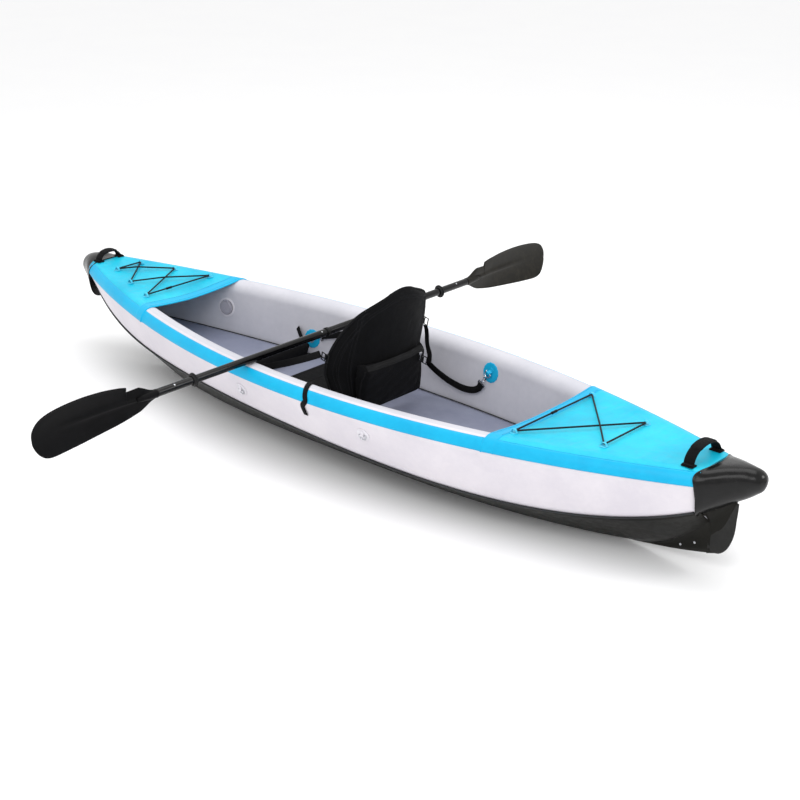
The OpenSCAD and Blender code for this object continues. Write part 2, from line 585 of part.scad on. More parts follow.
function across_ring(i) =
    wall_point(inner_ring_x[i], inner_ring_z[i], inner_turn[i], [1, 0, 0])
    - wall_point(inner_ring_x[i], inner_ring_z[i], inner_turn[i], [0, 0, 0]);
module rear_straps() color(BLACK) both_sides() let (a = belt_start(0, 0), d = belt_end(buckle_v[0], -buckle_reach))
    band(bezier(a, belt_start(0, 60), d + [-70, 4, -50], d, 14), across_ring(0), [0, 0, 1], belt_w, strap_t);
module front_straps() color(BLACK) both_sides() let (a = belt_start(1, 0), d = belt_end(buckle_v[1], buckle_reach))
    band(bezier(a, mix(a, d, 0.33) - [0, 0, 5], mix(a, d, 0.67) - [0, 0, 5], d, 10),
         across_ring(1), [0, 0, -1], belt_w, strap_t);

// ---------------------------------------------------------------- paddle
paddle_mid = -24;
shaft_r = shaft_d / 2;
shaft_in = shaft_r - 1.5;
joint_y = 720;         // from the middle to each blade's button
throat_y = 790;        // from the middle to where a blade begins
spigot_end = 655;
spigot_r = shaft_in - 0.2;
paddle_z = gun_z(paddle_x) + shaft_r + 1.2;
button_lean = 40;
button_r = 3;
button_out = 1.6;      // how far a button stands out of the shaft
button_travel = 3;
module on_shaft(y) translate([paddle_x, paddle_mid + y, paddle_z]) rotate([-90, 0, 0]) children();
// A button's own frame: +Z points out of the shaft.
module at_button(y) translate([paddle_x, paddle_mid + y, paddle_z]) rotate([0, -button_lean, 0]) children();
module button_hole(y) at_button(y) cylinder(r = button_r + 0.2, h = 40);
ferrule_button = 26;
ferrule_half = 95;
module paddle_shaft_port() color(BLACK) difference() {
    on_shaft(0.3) tube(shaft_r, shaft_in, throat_y - 0.3);
    button_hole(joint_y);
    button_hole(ferrule_button);
}
module paddle_shaft_starboard() color(BLACK) difference() {
    on_shaft(-throat_y) tube(shaft_r, shaft_in, throat_y - 0.3);
    button_hole(-joint_y);
}
module paddle_ferrule() color(STEEL) difference() {
    on_shaft(-ferrule_half) tube(spigot_r, spigot_r - 2, 2 * ferrule_half);
    button_hole(ferrule_button);
}
// Blade outline: share of the blade's length, upper half and lower half of its width.
blade_len = paddle_len / 2 - throat_y - 1;
blade_rows = [[0, 13, 13], [0.06, 22, 26], [0.125, 37, 44], [0.215, 38, 55], [0.24, 52, 58], [0.31, 62, 63],
              [0.44, 71, 71], [0.6, 75, 79], [0.75, 72, 85], [0.86, 64, 87], [0.92, 54, 80], [0.96, 39, 64],
              [0.985, 20, 42], [1, 2, 20]];
blade_t = 4;
dish = 22;             // how far the blade's middle is spooned
module blade() {
    loft([for (r = blade_rows) let (y = r[0] * blade_len, c = dish * (1 - pow(2 * r[0] - 1, 2)) * 0.6,
                                    t = mix(12, blade_t / 2, min(1, r[0] / 0.3)))
        let (half = [for (k = [1, 0.6, 0.2, -0.2, -0.6, -1])
            [c - 14 * k * k * min(1, r[0] * 3), k > 0 ? k * r[1] : k * r[2], max(0.8, t * (1 - 0.8 * k * k))]])
        concat([for (q = half) [q[0] + q[2], y, q[1]]],
               [for (j = [len(half) - 1:-1:0]) [half[j][0] - half[j][2], y, half[j][1]]])]);
}
// The two blades mirror each other across the paddle's middle.
module blade_piece(s) color(BLACK) {
    translate([paddle_x, paddle_mid + s * (throat_y + 0.6), paddle_z])
        if (s > 0) blade(); else mirror([0, 1, 0]) blade();
    difference() {
        on_shaft(s > 0 ? spigot_end : -throat_y - 6) tube(spigot_r, spigot_r - 2, throat_y + 6 - spigot_end);
        button_hole(s * joint_y);
    }
}
module paddle_blade_port() blade_piece(1);
module paddle_blade_starboard() blade_piece(-1);
ring_y = 655;
ring_grip = shaft_r + 0.06;
module drip_ring(y) color(BLACK) on_shaft(y - 9) rotate_extrude()
    polygon([[ring_grip, 0], [shaft_r + 4, 0], [shaft_r + 4, 6], [shaft_r + 11, 8], [shaft_r + 11, 10],
             [shaft_r + 4, 12], [shaft_r + 4, 18], [ring_grip, 18]]);
module drip_ring_port() drip_ring(ring_y - 25);
module drip_ring_starboard() drip_ring(-ring_y + 25);
module button(y) color(STEEL) at_button(y) {
    translate([0, 0, 6]) cylinder(r = button_r, h = shaft_r + button_out - 6);
    translate([0, 0, 5]) cylinder(r = button_r + 1.4, h = 1.6);
}
module centre_button() button(ferrule_button);
module port_blade_button() button(joint_y);
module starboard_blade_button() button(-joint_y);
// A bent leaf behind each button.
module button_springs() color(STEEL) for (y = [ferrule_button, joint_y, -joint_y])
    at_button(y) rotate([0, 0, 90]) band([[-4, 0, 4], [8, 0, 3], [20, 0, 0], [28, 0, -4], [24, 0, -7], [4, 0, -9.2]],
                      [0, 1, 0], [0, 1, 0], 5, 0.6);

// ---------------------------------------------------------------- drawing
side_chamber_port();
side_chamber_starboard();
floor_chamber();
hull_skin();
gunwale_stripes();
bow_deck();
stern_deck();
bow_cap();
stern_cap();
keel_fairing();
fairing_screws();
skeg_fin();
deck_loops();
bow_bungee();
stern_bungee();
handle_tabs();
bow_handle();
stern_handle();
inner_ring_patches();
inner_rings();
outer_ring_patches();
outer_ring_port_fore();
outer_ring_port_aft();
outer_ring_starboard_fore();
outer_ring_starboard_aft();
valve_bodies();
valve_springs();
port_valve_stem();
starboard_valve_stem();
floor_valve_stem();
port_valve_cap();
starboard_valve_cap();
floor_valve_cap();
footrest_roll();
footrest_webbing();
seat_cushion();
backrest_pad();
backrest_binding();
backrest_pocket();
zip_slider();
seat_buckles();
rear_straps();
front_straps();
snap_hooks();
gate_port_rear();
gate_starboard_rear();
gate_port_front();
gate_starboard_front();
paddle_shaft_port();
paddle_shaft_starboard();
paddle_ferrule();
paddle_blade_port();
paddle_blade_starboard();
drip_ring_port();
drip_ring_starboard();
centre_button();
port_blade_button();
starboard_blade_button();
button_springs();
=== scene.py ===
"""Looks of the inflatable kayak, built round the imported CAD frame. Metres; +X bow, +Y port, +Z up."""

import json
import math

import bpy
import bmesh
import numpy as np
from mathutils import Matrix, Vector
from mathutils.bvhtree import BVHTree

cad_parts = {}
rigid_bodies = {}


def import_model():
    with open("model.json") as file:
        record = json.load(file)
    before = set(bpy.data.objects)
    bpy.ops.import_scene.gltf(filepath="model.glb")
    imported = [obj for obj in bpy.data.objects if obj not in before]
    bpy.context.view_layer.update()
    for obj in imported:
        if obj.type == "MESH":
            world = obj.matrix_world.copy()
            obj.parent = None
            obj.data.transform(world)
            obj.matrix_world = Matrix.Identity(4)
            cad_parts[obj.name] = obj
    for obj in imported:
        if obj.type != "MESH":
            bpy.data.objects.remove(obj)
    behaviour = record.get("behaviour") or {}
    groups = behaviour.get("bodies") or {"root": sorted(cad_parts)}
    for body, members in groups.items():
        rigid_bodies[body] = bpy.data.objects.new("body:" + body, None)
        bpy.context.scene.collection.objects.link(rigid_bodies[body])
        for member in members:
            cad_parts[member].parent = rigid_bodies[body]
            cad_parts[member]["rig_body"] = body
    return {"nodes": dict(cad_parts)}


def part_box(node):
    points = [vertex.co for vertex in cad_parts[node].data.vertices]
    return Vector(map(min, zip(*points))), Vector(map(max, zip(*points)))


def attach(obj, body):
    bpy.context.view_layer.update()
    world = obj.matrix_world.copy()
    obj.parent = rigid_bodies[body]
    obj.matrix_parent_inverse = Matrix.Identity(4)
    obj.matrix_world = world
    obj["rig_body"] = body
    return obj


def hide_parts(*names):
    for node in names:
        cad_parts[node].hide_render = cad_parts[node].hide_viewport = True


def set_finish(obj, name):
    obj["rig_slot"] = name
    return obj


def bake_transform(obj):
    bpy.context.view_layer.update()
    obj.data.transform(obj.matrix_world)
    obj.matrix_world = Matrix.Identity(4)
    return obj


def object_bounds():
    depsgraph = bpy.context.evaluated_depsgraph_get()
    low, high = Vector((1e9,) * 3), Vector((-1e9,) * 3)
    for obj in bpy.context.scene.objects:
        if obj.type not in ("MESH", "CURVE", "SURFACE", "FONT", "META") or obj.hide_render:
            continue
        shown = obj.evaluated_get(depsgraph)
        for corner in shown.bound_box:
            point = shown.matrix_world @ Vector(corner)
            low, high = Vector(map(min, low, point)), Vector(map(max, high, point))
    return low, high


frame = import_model()
CAD_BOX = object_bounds()

# ------------------------------------------------------------------ sizes, from the frame or the CAD
HALF = CAD_BOX[1].x
HALF_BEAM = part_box("side_chamber_port")[1].y
BOW_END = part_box("side_chamber_port")[1].x
STERN_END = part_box("side_chamber_port")[0].x
BOW_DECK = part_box("bow_deck")[0].x
STERN_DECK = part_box("stern_deck")[1].x
DEPTH = 0.330
WALL = 0.095
WALL_LEAN = 0.027
FLOOR = 0.122
BOW_RISE = 0.044
STERN_RISE = 0.030
TIP_HALF = 0.032
CHAMBER_UP = 0.0061
BAND_FROM = math.radians(5)
BAND_TO = math.radians(61)
FLOOR_ENDS = (-1.23, 1.27)
FAIRING_START = -1.17
FAIRING_END = -1.5335
V3 = np.array
SIDES = ((1, "port"), (-1, "starboard"))


# ------------------------------------------------------------------ hull lines, as in the CAD
def share(x):
    return abs(x) / HALF


def gun_y(x):
    return TIP_HALF + (HALF_BEAM - TIP_HALF) * (1 - share(x) ** 2)


def gun_z(x):
    return DEPTH + (BOW_RISE if x > 0 else STERN_RISE) * share(x) ** 2


def chine_y(x):
    return gun_y(x) - 0.060 * (1 - share(x) ** 3) - 0.005


def chine_z(x):
    rise = 7.5 if x > 0 else 4.8
    return 0.118 + 0.030 * math.tanh((x + 0.3) / 0.5) + 0.150 * (abs(x) / 1.5) ** rise


def keel_z(x):
    if x > 0.95:
        return 0.215 * ((x - 0.95) / 0.55) ** 2.2
    if x < -1.15:
        return 0.150 * ((-1.15 - x) / 0.305) ** 2
    return 0.0


def web_z(x):
    """Lower edge of the upright web under the stern."""
    return 0.032 * (max(0.0, -1.15 - x) / 0.22) ** 1.5


def flat_y(x):
    return max(0.005, 0.150 * (1 - (abs(x) / 1.18) ** 3))


def thick(x):
    return min(WALL, gun_y(x) - 0.005)


def arc_z(x):
    return gun_z(x) - thick(x) / 2


def lean(x):
    return min(WALL_LEAN * (1 - share(x) ** 2), gun_y(x) - thick(x) - 0.002)


def floor_top(x):
    return FLOOR + 0.028 * x * x


def inner_y(x, z):
    return gun_y(x) - thick(x) - lean(x) * (arc_z(x) - z) / (arc_z(x) - floor_top(x))


def outer_y(x, z):
    return gun_y(x) - (gun_y(x) - chine_y(x)) * (arc_z(x) - z) / (arc_z(x) - chine_z(x))


def smooth_step(a, b, x):
    t = min(1.0, max(0.0, (x - a) / (b - a)))
    return t * t * (3 - 2 * t)


def ripple(x, y, z):
    """A repeatable value from -1 to 1 that varies smoothly with place."""
    return (math.sin(9.1 * x + 3.7 * y + 1.3) * math.sin(6.3 * y - 4.1 * z + 0.7)
            + 0.5 * math.sin(17.3 * x - 8.9 * y + 2.1) * math.sin(14.7 * z + 11.1 * y)) / 1.5


# ------------------------------------------------------------------ mesh helpers
def link(name, verts, faces, material, body="hull", slot=None, uv=None, smooth=True):
    """Makes a mesh object that rides on a body; body None leaves it free for blend."""
    mesh = bpy.data.meshes.new(name)
    mesh.from_pydata([tuple(map(float, v)) for v in verts], [], faces)
    if uv is not None:
        layer = mesh.uv_layers.new(name="UVMap")
        for loop in mesh.loops:
            layer.data[loop.index].uv = uv[loop.vertex_index]
    mesh.validate()
    fix_normals(mesh)
    obj = bpy.data.objects.new(name, mesh)
    bpy.context.scene.collection.objects.link(obj)
    mesh.materials.append(material)
    if smooth:
        mesh.polygons.foreach_set("use_smooth", [True] * len(mesh.polygons))
    if body:
        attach(obj, body)
    if slot:
        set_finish(obj, slot)
    return obj


def fix_normals(mesh):
    bm = bmesh.new()
    bm.from_mesh(mesh)
    bmesh.ops.recalc_face_normals(bm, faces=bm.faces)
    bm.to_mesh(mesh)
    bm.free()


def lengths(points):
    steps = np.linalg.norm(np.diff(points, axis=0), axis=1)
    return np.concatenate([[0], np.cumsum(steps)])


def ring_mesh(rings, closed_path=False, cap=True):
    """Vertices, quads and UVs in metres of a surface through rings of equal length."""
    rings = np.asarray(rings, float)
    m, n = rings.shape[:2]
    faces = []
    for i in range(m if closed_path else m - 1):
        for j in range(n):
            a, b = i * n + j, i * n + (j + 1) % n
            c, d = ((i + 1) % m) * n + j, ((i + 1) % m) * n + (j + 1) % n
            faces.append((a, b, d, c))
    if cap and not closed_path:
        faces.append(tuple(range(n)))
        faces.append(tuple(range((m - 1) * n, m * n)))
    along = lengths(rings.mean(axis=1))
    uv = []
    for i in range(m):
        across = lengths(rings[i])
        uv += [(along[i], across[j]) for j in range(n)]
    return rings.reshape(-1, 3), faces, uv


def loft(name, rings, material, body="hull", slot=None, closed_path=False, cap=True):
    verts, faces, uv = ring_mesh(rings, closed_path, cap)
    return link(name, verts, faces, material, body, slot, uv)


def sheet(name, upper, lower, material, body="hull", slot=None):
    """A thin closed sheet between two grids of points."""
    upper, lower = np.asarray(upper, float), np.asarray(lower, float)
    rings = np.concatenate([upper, lower[:, ::-1]], axis=1)
    m, n = rings.shape[:2]
    p = upper.shape[1]
    verts, faces, uv = ring_mesh(rings, cap=False)
    for row in (0, m - 1):
        base = row * n
        faces += [(base + j, base + j + 1, base + n - 2 - j, base + n - 1 - j) for j in range(p - 1)]
    return link(name, verts, faces, material, body, slot, uv)


def unit(v):
    v = np.asarray(v, float)
    return v / max(np.linalg.norm(v), 1e-12)


def tangents(path, closed=False):
    path = np.asarray(path, float)
    if closed:
        t = np.roll(path, -1, 0) - np.roll(path, 1, 0)
    else:
        t = np.gradient(path, axis=0)
    return t / np.maximum(np.linalg.norm(t, axis=1)[:, None], 1e-12)


def turns_of(n):
    """n angles evenly spaced round one turn."""
    return np.linspace(0, 2 * math.pi, n, endpoint=False)


def circle(r, n=12):
    a = turns_of(n)
    return np.stack([r * np.cos(a), r * np.sin(a)], 1)


def strap_profile(w, t):
    """A flat webbing section with rounded edges: width along the first axis."""
    e = t * 0.5
    half = [(w / 2 - e, -e), (w / 2 - 0.3 * e, -0.7 * e), (w / 2, 0), (w / 2 - 0.3 * e, 0.7 * e),
            (w / 2 - e, e)]
    return V3(half + [(0, e)] + [(-x, -y) for x, y in half] + [(0, -e)])


def sweep(name, path, profile, material, body="hull", slot=None, across=None, closed=False, cap=True):
    """Sweeps a section along a path. across gives the section's first axis at each point."""
    path = np.asarray(path, float)
    tan = tangents(path, closed)
    if across is None:
        first = unit(np.cross(tan[0], [0.13, 0.21, 0.97]))
        dirs = [first]
        for t in tan[1:]:
            dirs.append(unit(dirs[-1] - t * np.dot(dirs[-1], t)))
        if closed:
            dirs = untwist(dirs, tan)
    else:
        across = np.asarray(across, float)
        if across.ndim == 1:
            across = np.repeat(across[None], len(path), 0)
        dirs = [unit(u - t * np.dot(u, t)) for u, t in zip(across, tan)]
    rings = []
    for p, t, u in zip(path, tan, dirs):
        w = np.cross(t, u)
        rings.append([p + q[0] * u + q[1] * w for q in profile])
    return loft(name, rings, material, body, slot, closed, cap)


def untwist(dirs, tan):
    """Spreads the leftover twist of a closed path evenly round it."""
    last = unit(dirs[-1] - tan[0] * np.dot(dirs[-1], tan[0]))
    angle = math.atan2(np.dot(np.cross(last, dirs[0]), tan[0]), np.dot(last, dirs[0]))
    out = []
    for i, (u, t) in enumerate(zip(dirs, tan)):
        a = angle * i / len(dirs)
        out.append(u * math.cos(a) + np.cross(t, u) * math.sin(a))
    return out


def bezier(a, b, c, d, n):
    a, b, c, d = (V3(p, float) for p in (a, b, c, d))
    return V3([a * (1 - s) ** 3 + 3 * b * s * (1 - s) ** 2 + 3 * c * s * s * (1 - s) + d * s ** 3
               for s in np.linspace(0, 1, n)])


def spline(points, n):
    """A smooth curve through points, as n points evenly spaced along it."""
    p = np.asarray(points, float)
    p = np.vstack([2 * p[0] - p[1], p, 2 * p[-1] - p[-2]])
    out = []
    for i in range(1, len(p) - 2):
        for s in np.linspace(0, 1, 24, endpoint=False):
            a, b, c, d = p[i - 1], p[i], p[i + 1], p[i + 2]
            out.append(0.5 * (2 * b + (c - a) * s + (2 * a - 5 * b + 4 * c - d) * s * s
                              + (3 * b - a - 3 * c + d) * s ** 3))
    out.append(p[-2])
    return resample(out, n)


def flat_spline(points, n):
    """The same through points in a plane."""
    return spline([(a, b, 0) for a, b in points], n)[:, :2]


def resample(points, n):
    points = np.asarray(points, float)
    dist = lengths(points)
    at = np.linspace(0, dist[-1], n)
    return np.stack([np.interp(at, dist, points[:, k]) for k in range(points.shape[1])], 1)


def place(obj, matrix):
    """Puts a piece that was modelled round the origin into its place."""
    obj.data.transform(matrix)
    obj.data.update()
    return obj


def join(name, objs):
    """Joins meshes into one piece, keeping the first one's body, slot and materials."""
    bm = bmesh.new()
    materials = []
    for o in objs:
        start = len(bm.faces)
        bm.from_mesh(o.data)
        bm.faces.ensure_lookup_table()
        for m in o.data.materials:
            if m not in materials:
                materials.append(m)
        for f in bm.faces[start:]:
            f.material_index = materials.index(o.data.materials[f.material_index])
    first = objs[0]
    bm.to_mesh(first.data)
    bm.free()
    first.data.materials.clear()
    for m in materials:
        first.data.materials.append(m)
    for o in objs[1:]:
        bpy.data.objects.remove(o)
    first.name = name
    return first


def stitches(name, path, normals, material, body="hull", spacing=0.0065, size=0.0042, radius=0.00045,
             slot=None):
    """A row of short thread stitches lying on a surface."""
    path, normals = np.asarray(path, float), np.asarray(normals, float)
    if normals.ndim == 1:
        normals = np.repeat(normals[None], len(path), 0)
    dist = lengths(path)
    count = max(2, int(dist[-1] / spacing))
    at = (np.arange(count) + 0.5) * dist[-1] / count
    verts, faces = [], []
    for a in at:
        ends = [V3([np.interp(a + k * size / 2, dist, path[:, c]) for c in range(3)]) for k in (-1, 1)]
        up = unit([np.interp(a, dist, normals[:, c]) for c in range(3)])
        run = unit(ends[1] - ends[0])
        side = np.cross(up, run)
        base = len(verts)
        for k, rise, scale in ((0, -0.2, 0.6), (0.3, 0.8, 1.0), (0.7, 0.8, 1.0), (1, -0.2, 0.6)):
            centre = ends[0] * (1 - k) + ends[1] * k + up * radius * rise
            for q in circle(radius * scale, 6):
                verts.append(centre + side * q[0] + up * q[1])
        for i in range(3):
            for j in range(6):
                a0, b0 = base + i * 6 + j, base + i * 6 + (j + 1) % 6
                faces.append((a0, b0, b0 + 6, a0 + 6))
        faces += [tuple(base + j for j in range(6)), tuple(base + 18 + j for j in range(6))]
    return link(name, verts, faces, material, body, slot)


# ------------------------------------------------------------------ materials
class Look:
    """A material built from nodes: colour variation, roughness and bump all come from textures."""

    def __init__(self, name, metallic=0.0, coat=0.0, sheen=0.0, shine=0.5):
        self.material = bpy.data.materials.new(name)
        self.material.use_nodes = True
        self.tree = self.material.node_tree
        self.tree.nodes.clear()
        output = self.tree.nodes.new("ShaderNodeOutputMaterial")
        self.bsdf = self.tree.nodes.new("ShaderNodeBsdfPrincipled")
        self.tree.links.new(self.bsdf.outputs[0], output.inputs[0])
        self.bsdf.inputs["Metallic"].default_value = metallic
        self.bsdf.inputs["Coat Weight"].default_value = coat
        self.bsdf.inputs["Coat Roughness"].default_value = 0.15
        self.bsdf.inputs["Sheen Weight"].default_value = sheen
        self.bsdf.inputs["Specular IOR Level"].default_value = shine
        self.height = None
        place = self.tree.nodes.new("ShaderNodeTexCoord")
        self.object_place = place.outputs["Object"]
        self.uv = place.outputs["UV"]

    def feed(self, socket, value):
        if isinstance(value, bpy.types.NodeSocket):
            self.tree.links.new(value, socket)
        elif value is not None:
            socket.default_value = value

    def noise(self, scale, detail=4.0, stretch=(1, 1, 1), roughness=0.5, distort=0.0):
        mapping = self.tree.nodes.new("ShaderNodeMapping")
        self.feed(mapping.inputs["Vector"], self.object_place)
        mapping.inputs["Scale"].default_value = stretch
        node = self.tree.nodes.new("ShaderNodeTexNoise")
        self.feed(node.inputs["Vector"], mapping.outputs[0])
        node.inputs["Scale"].default_value = scale
        node.inputs["Detail"].default_value = detail
        node.inputs["Roughness"].default_value = roughness
        node.inputs["Distortion"].default_value = distort
        return node.outputs["Fac"]

    def wave(self, axis, pitch, place=None):
        """Even ridges pitch metres apart along X or Y of the UVs or of place."""
        mapping = self.tree.nodes.new("ShaderNodeMapping")
        self.feed(mapping.inputs["Vector"], self.uv if place is None else place)
        node = self.tree.nodes.new("ShaderNodeTexWave")
        node.bands_direction = axis
        node.wave_profile = "SIN"
        node.inputs["Scale"].default_value = 2 * math.pi / (20 * pitch)
        self.feed(node.inputs["Vector"], mapping.outputs[0])
        return node.outputs["Fac"]

    def math(self, operation, a, b=0.0):
        node = self.tree.nodes.new("ShaderNodeMath")
        node.operation = operation
        self.feed(node.inputs[0], a)
        self.feed(node.inputs[1], b)
        return node.outputs[0]

    def between(self, value, low, high, out_low=0.0, out_high=1.0):
        node = self.tree.nodes.new("ShaderNodeMapRange")
        for socket, item in zip(node.inputs, (value, low, high, out_low, out_high)):
            self.feed(socket, item)
        return node.outputs[0]

    def mix(self, factor, a, b):
        node = self.tree.nodes.new("ShaderNodeMix")
        node.data_type = "RGBA"
        self.feed(node.inputs["Factor"], factor)
        for socket, value in zip([s for s in node.inputs if s.type == "RGBA"], (a, b)):
            self.feed(socket, value if isinstance(value, bpy.types.NodeSocket) else rgb(value))
        return [s for s in node.outputs if s.type == "RGBA"][0]

    def weave(self, pitch):
        """Threads over and under each other, from the UVs."""
        return self.math("MAXIMUM", self.wave("X", pitch), self.wave("Y", pitch))

    def bump(self, height, distance, strength=1.0):
        node = self.tree.nodes.new("ShaderNodeBump")
        node.inputs["Strength"].default_value = strength
        node.inputs["Distance"].default_value = distance
        self.feed(node.inputs["Height"], height)
        if self.height is not None:
            self.feed(node.inputs["Normal"], self.height)
        self.height = node.outputs[0]
        self.feed(self.bsdf.inputs["Normal"], self.height)

    def colour(self, value):
        ready = isinstance(value, bpy.types.NodeSocket)
        self.feed(self.bsdf.inputs["Base Color"], value if ready else rgb(value))

    def rough(self, low, high, noise):
        self.feed(self.bsdf.inputs["Roughness"], self.between(noise, 0.3, 0.7, low, high))


def rgb(value):
    """Linear colour from display values of 0 to 255."""
    def linear(c):
        c = c / 255
        return c / 12.92 if c <= 0.04045 else ((c + 0.055) / 1.055) ** 2.4
    return (linear(value[0]), linear(value[1]), linear(value[2]), 1.0)


def coated_fabric(name, light, dark, rough=(0.38, 0.52), wrinkle=0.0015, grain=0.00018, shine=0.5):
    """Coated fabric: mottled colour, soft wrinkles, and the cloth's grain under the coating."""
    look = Look(name, shine=shine)
    broad = look.noise(5.0, 3.0)
    fine = look.noise(46.0, 5.0, roughness=0.6)
    tone = look.math("ADD", look.math("MULTIPLY", broad, 0.7), look.math("MULTIPLY", fine, 0.3))
    look.colour(look.mix(look.between(tone, 0.35, 0.65), dark, light))
    look.rough(rough[0], rough[1], fine)
    look.bump(look.noise(9.0, 3.0, stretch=(1, 1.6, 1.6), distort=0.6), wrinkle, 0.5)
    look.bump(look.noise(900.0, 2.0), grain, 0.4)
    return look.material


def woven(name, light, dark, pitch, depth, rough=(0.7, 0.9), fluff=60.0, shine=0.1, crease=0.0):
    """Woven cloth or webbing: threads from the UVs, worn and dusty in places."""
    look = Look(name, sheen=0.02, shine=shine)
    threads = look.weave(pitch)
    dust = look.noise(fluff, 4.0, roughness=0.65)
    tone = look.math("MULTIPLY", look.between(dust, 0.3, 0.75), look.between(threads, 0.2, 1.0, 0.55, 1.0))
    look.colour(look.mix(tone, dark, light))
    look.rough(rough[0], rough[1], dust)
    look.bump(threads, depth, 0.8)
    look.bump(dust, 0.0006, 0.35)
    if crease:
        look.bump(look.noise(13.0, 4.0, stretch=(1, 1, 0.6), distort=0.9), crease, 0.7)
    return look.material


def moulded(name, light, dark, rough=(0.28, 0.45), grain=0.0002, scale=380.0, coat=0.0, lumps=0.0, shine=0.3):
    """Moulded plastic or rubber: fine grain, with scuffs that are a little paler and rougher."""
    look = Look(name, coat=coat, shine=shine)
    scuff = look.noise(24.0, 6.0, roughness=0.7, distort=0.4)
    look.colour(look.mix(look.between(scuff, 0.45, 0.72), dark, light))
    look.rough(rough[0], rough[1], scuff)
    look.bump(look.noise(scale, 3.0), grain, 0.5)
    if lumps:
        look.bump(look.noise(14.0, 3.0, distort=0.5), lumps, 0.6)
    return look.material


def metal(name, light, dark, rough=(0.12, 0.3)):
    look = Look(name, metallic=1.0)
    wear = look.noise(160.0, 4.0, roughness=0.6)
    look.colour(look.mix(look.between(wear, 0.4, 0.7), light, dark))
    look.rough(rough[0], rough[1], wear)
    look.bump(look.noise(700.0, 2.0, stretch=(1, 1, 8)), 0.00008, 0.4)
    return look.material


def braided(name, light, dark, pitch=0.0022):
    """A braided cord: two sets of strands wound opposite ways."""
    look = Look(name, sheen=0.02, shine=0.25)
    parts = look.tree.nodes.new("ShaderNodeSeparateXYZ")
    look.feed(parts.inputs[0], look.uv)
    along, around = parts.outputs[0], parts.outputs[1]
    turns = [look.math("SINE", look.math("MULTIPLY", look.math(op, along, around), 2 * math.pi / pitch))
             for op in ("ADD", "SUBTRACT")]
    strands = look.between(look.math("MAXIMUM", turns[0], turns[1]), -0.2, 1.0)
    look.colour(look.mix(look.math("MULTIPLY", strands, look.noise(120.0)), dark, light))
    look.rough(0.55, 0.8, strands)
    look.bump(strands, 0.0003, 0.9)
    return look.material


LIGHT = coated_fabric("light_fabric", (223, 218, 224), (211, 206, 214))
# The walls' inside and the inner half of their tops are the same light cloth as the outside; this darker copy
# is painted shade.
WALL_SHADE_PAINTED = coated_fabric("wall_inside_painted_shade", (209, 208, 215), (197, 197, 205), shine=0.3)
FLOOR_CLOTH = coated_fabric("floor_fabric", (140, 144, 163), (121, 125, 145), rough=(0.5, 0.65), shine=0.25)
BOTTOM = coated_fabric("bottom_fabric", (26, 25, 21), (15, 15, 13), rough=(0.3, 0.46), wrinkle=0.0022,
                       shine=0.12)
DECK = coated_fabric("blue_fabric", (34, 204, 230), (2, 178, 212), rough=(0.34, 0.5), wrinkle=0.0065,
                     shine=0.25)
BAND = coated_fabric("blue_band", (12, 184, 228), (6, 168, 216), rough=(0.34, 0.48), shine=0.25)
TAPE = coated_fabric("light_tape", (228, 225, 231), (218, 215, 222), rough=(0.4, 0.55))
PIPING = coated_fabric("seam_tape", (50, 52, 54), (32, 34, 36), rough=(0.4, 0.6), shine=0.25)
CAP = moulded("cap_rubber", (14, 13, 14), (3, 3, 3), rough=(0.14, 0.3), coat=0.12, lumps=0.0024, shine=0.22)
FIN = moulded("fin_plastic", (32, 32, 30), (18, 18, 17), rough=(0.3, 0.5))
CORD = braided("cord", (42, 46, 54), (7, 8, 10))
WEBBING = woven("webbing", (22, 22, 24), (5, 5, 6), pitch=0.0018, depth=0.0005)
SEAT = woven("seat_fabric", (18, 18, 20), (5, 5, 6), pitch=0.0011, depth=0.00022, fluff=14.0, crease=0.006)
SEAT_EDGE = woven("seat_binding", (30, 30, 32), (10, 10, 11), pitch=0.0014, depth=0.0003)
BLUE_THREAD = moulded("blue_thread", (24, 140, 190), (14, 112, 160), rough=(0.6, 0.8), scale=900.0)
LOOP_BLUE = coated_fabric("loop_fabric", (86, 204, 230), (60, 188, 220), rough=(0.4, 0.55), shine=0.3)
PATCH_BLUE = coated_fabric("patch_blue", (24, 180, 224), (16, 162, 210), rough=(0.36, 0.5), shine=0.3)
THREAD = moulded("thread", (50, 50, 54), (28, 28, 31), rough=(0.6, 0.8), scale=900.0)
ZIP = moulded("zip_tape", (30, 30, 32), (10, 10, 11), rough=(0.5, 0.7), shine=0.15)
VALVE = moulded("valve_plastic", (196, 194, 202), (172, 170, 180), rough=(0.3, 0.45))
VALVE_SEAL = moulded("valve_seal", (74, 76, 84), (48, 50, 56), rough=(0.5, 0.7))
BLACK_PLASTIC = moulded("buckle_plastic", (22, 22, 24), (7, 7, 8), rough=(0.35, 0.5), shine=0.15)
BLADE = moulded("paddle_plastic", (9, 9, 11), (4, 4, 5), rough=(0.36, 0.5), grain=0.00025, scale=300.0,
                shine=0.1)
# A paler, warmer copy of the blade plastic: painted light, for the highlight the starboard blade catches.
BLADE_LIT_COPY = moulded("paddle_plastic_painted_light", (38, 35, 28), (22, 20, 15), rough=(0.28, 0.44), grain=0.00025,
                      shine=0.16)
SHAFT = moulded("shaft", (14, 14, 16), (4, 4, 5), rough=(0.16, 0.3), grain=0.00006, coat=0.08, shine=0.25)
STEEL = metal("steel", (226, 228, 232), (168, 170, 176))
ALLOY = metal("aluminium", (206, 208, 212), (160, 162, 168), rough=(0.25, 0.4))
RUBBER = moulded("ring_rubber", (22, 22, 23), (8, 8, 9), rough=(0.5, 0.7))


# ------------------------------------------------------------------ hull
def mirrored(obj, name, body=None, slot=None):
    """The same piece to starboard, turned inside out so that its faces still look outwards."""
    mesh = obj.data.copy()
    mesh.transform(Matrix.Diagonal((1, -1, 1, 1)))
    fix_normals(mesh)
    other = bpy.data.objects.new(name, mesh)
    bpy.context.scene.collection.objects.link(other)
    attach(other, body or obj["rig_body"])
    if slot or obj.get("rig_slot"):
        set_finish(other, slot or obj["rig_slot"])
    return other


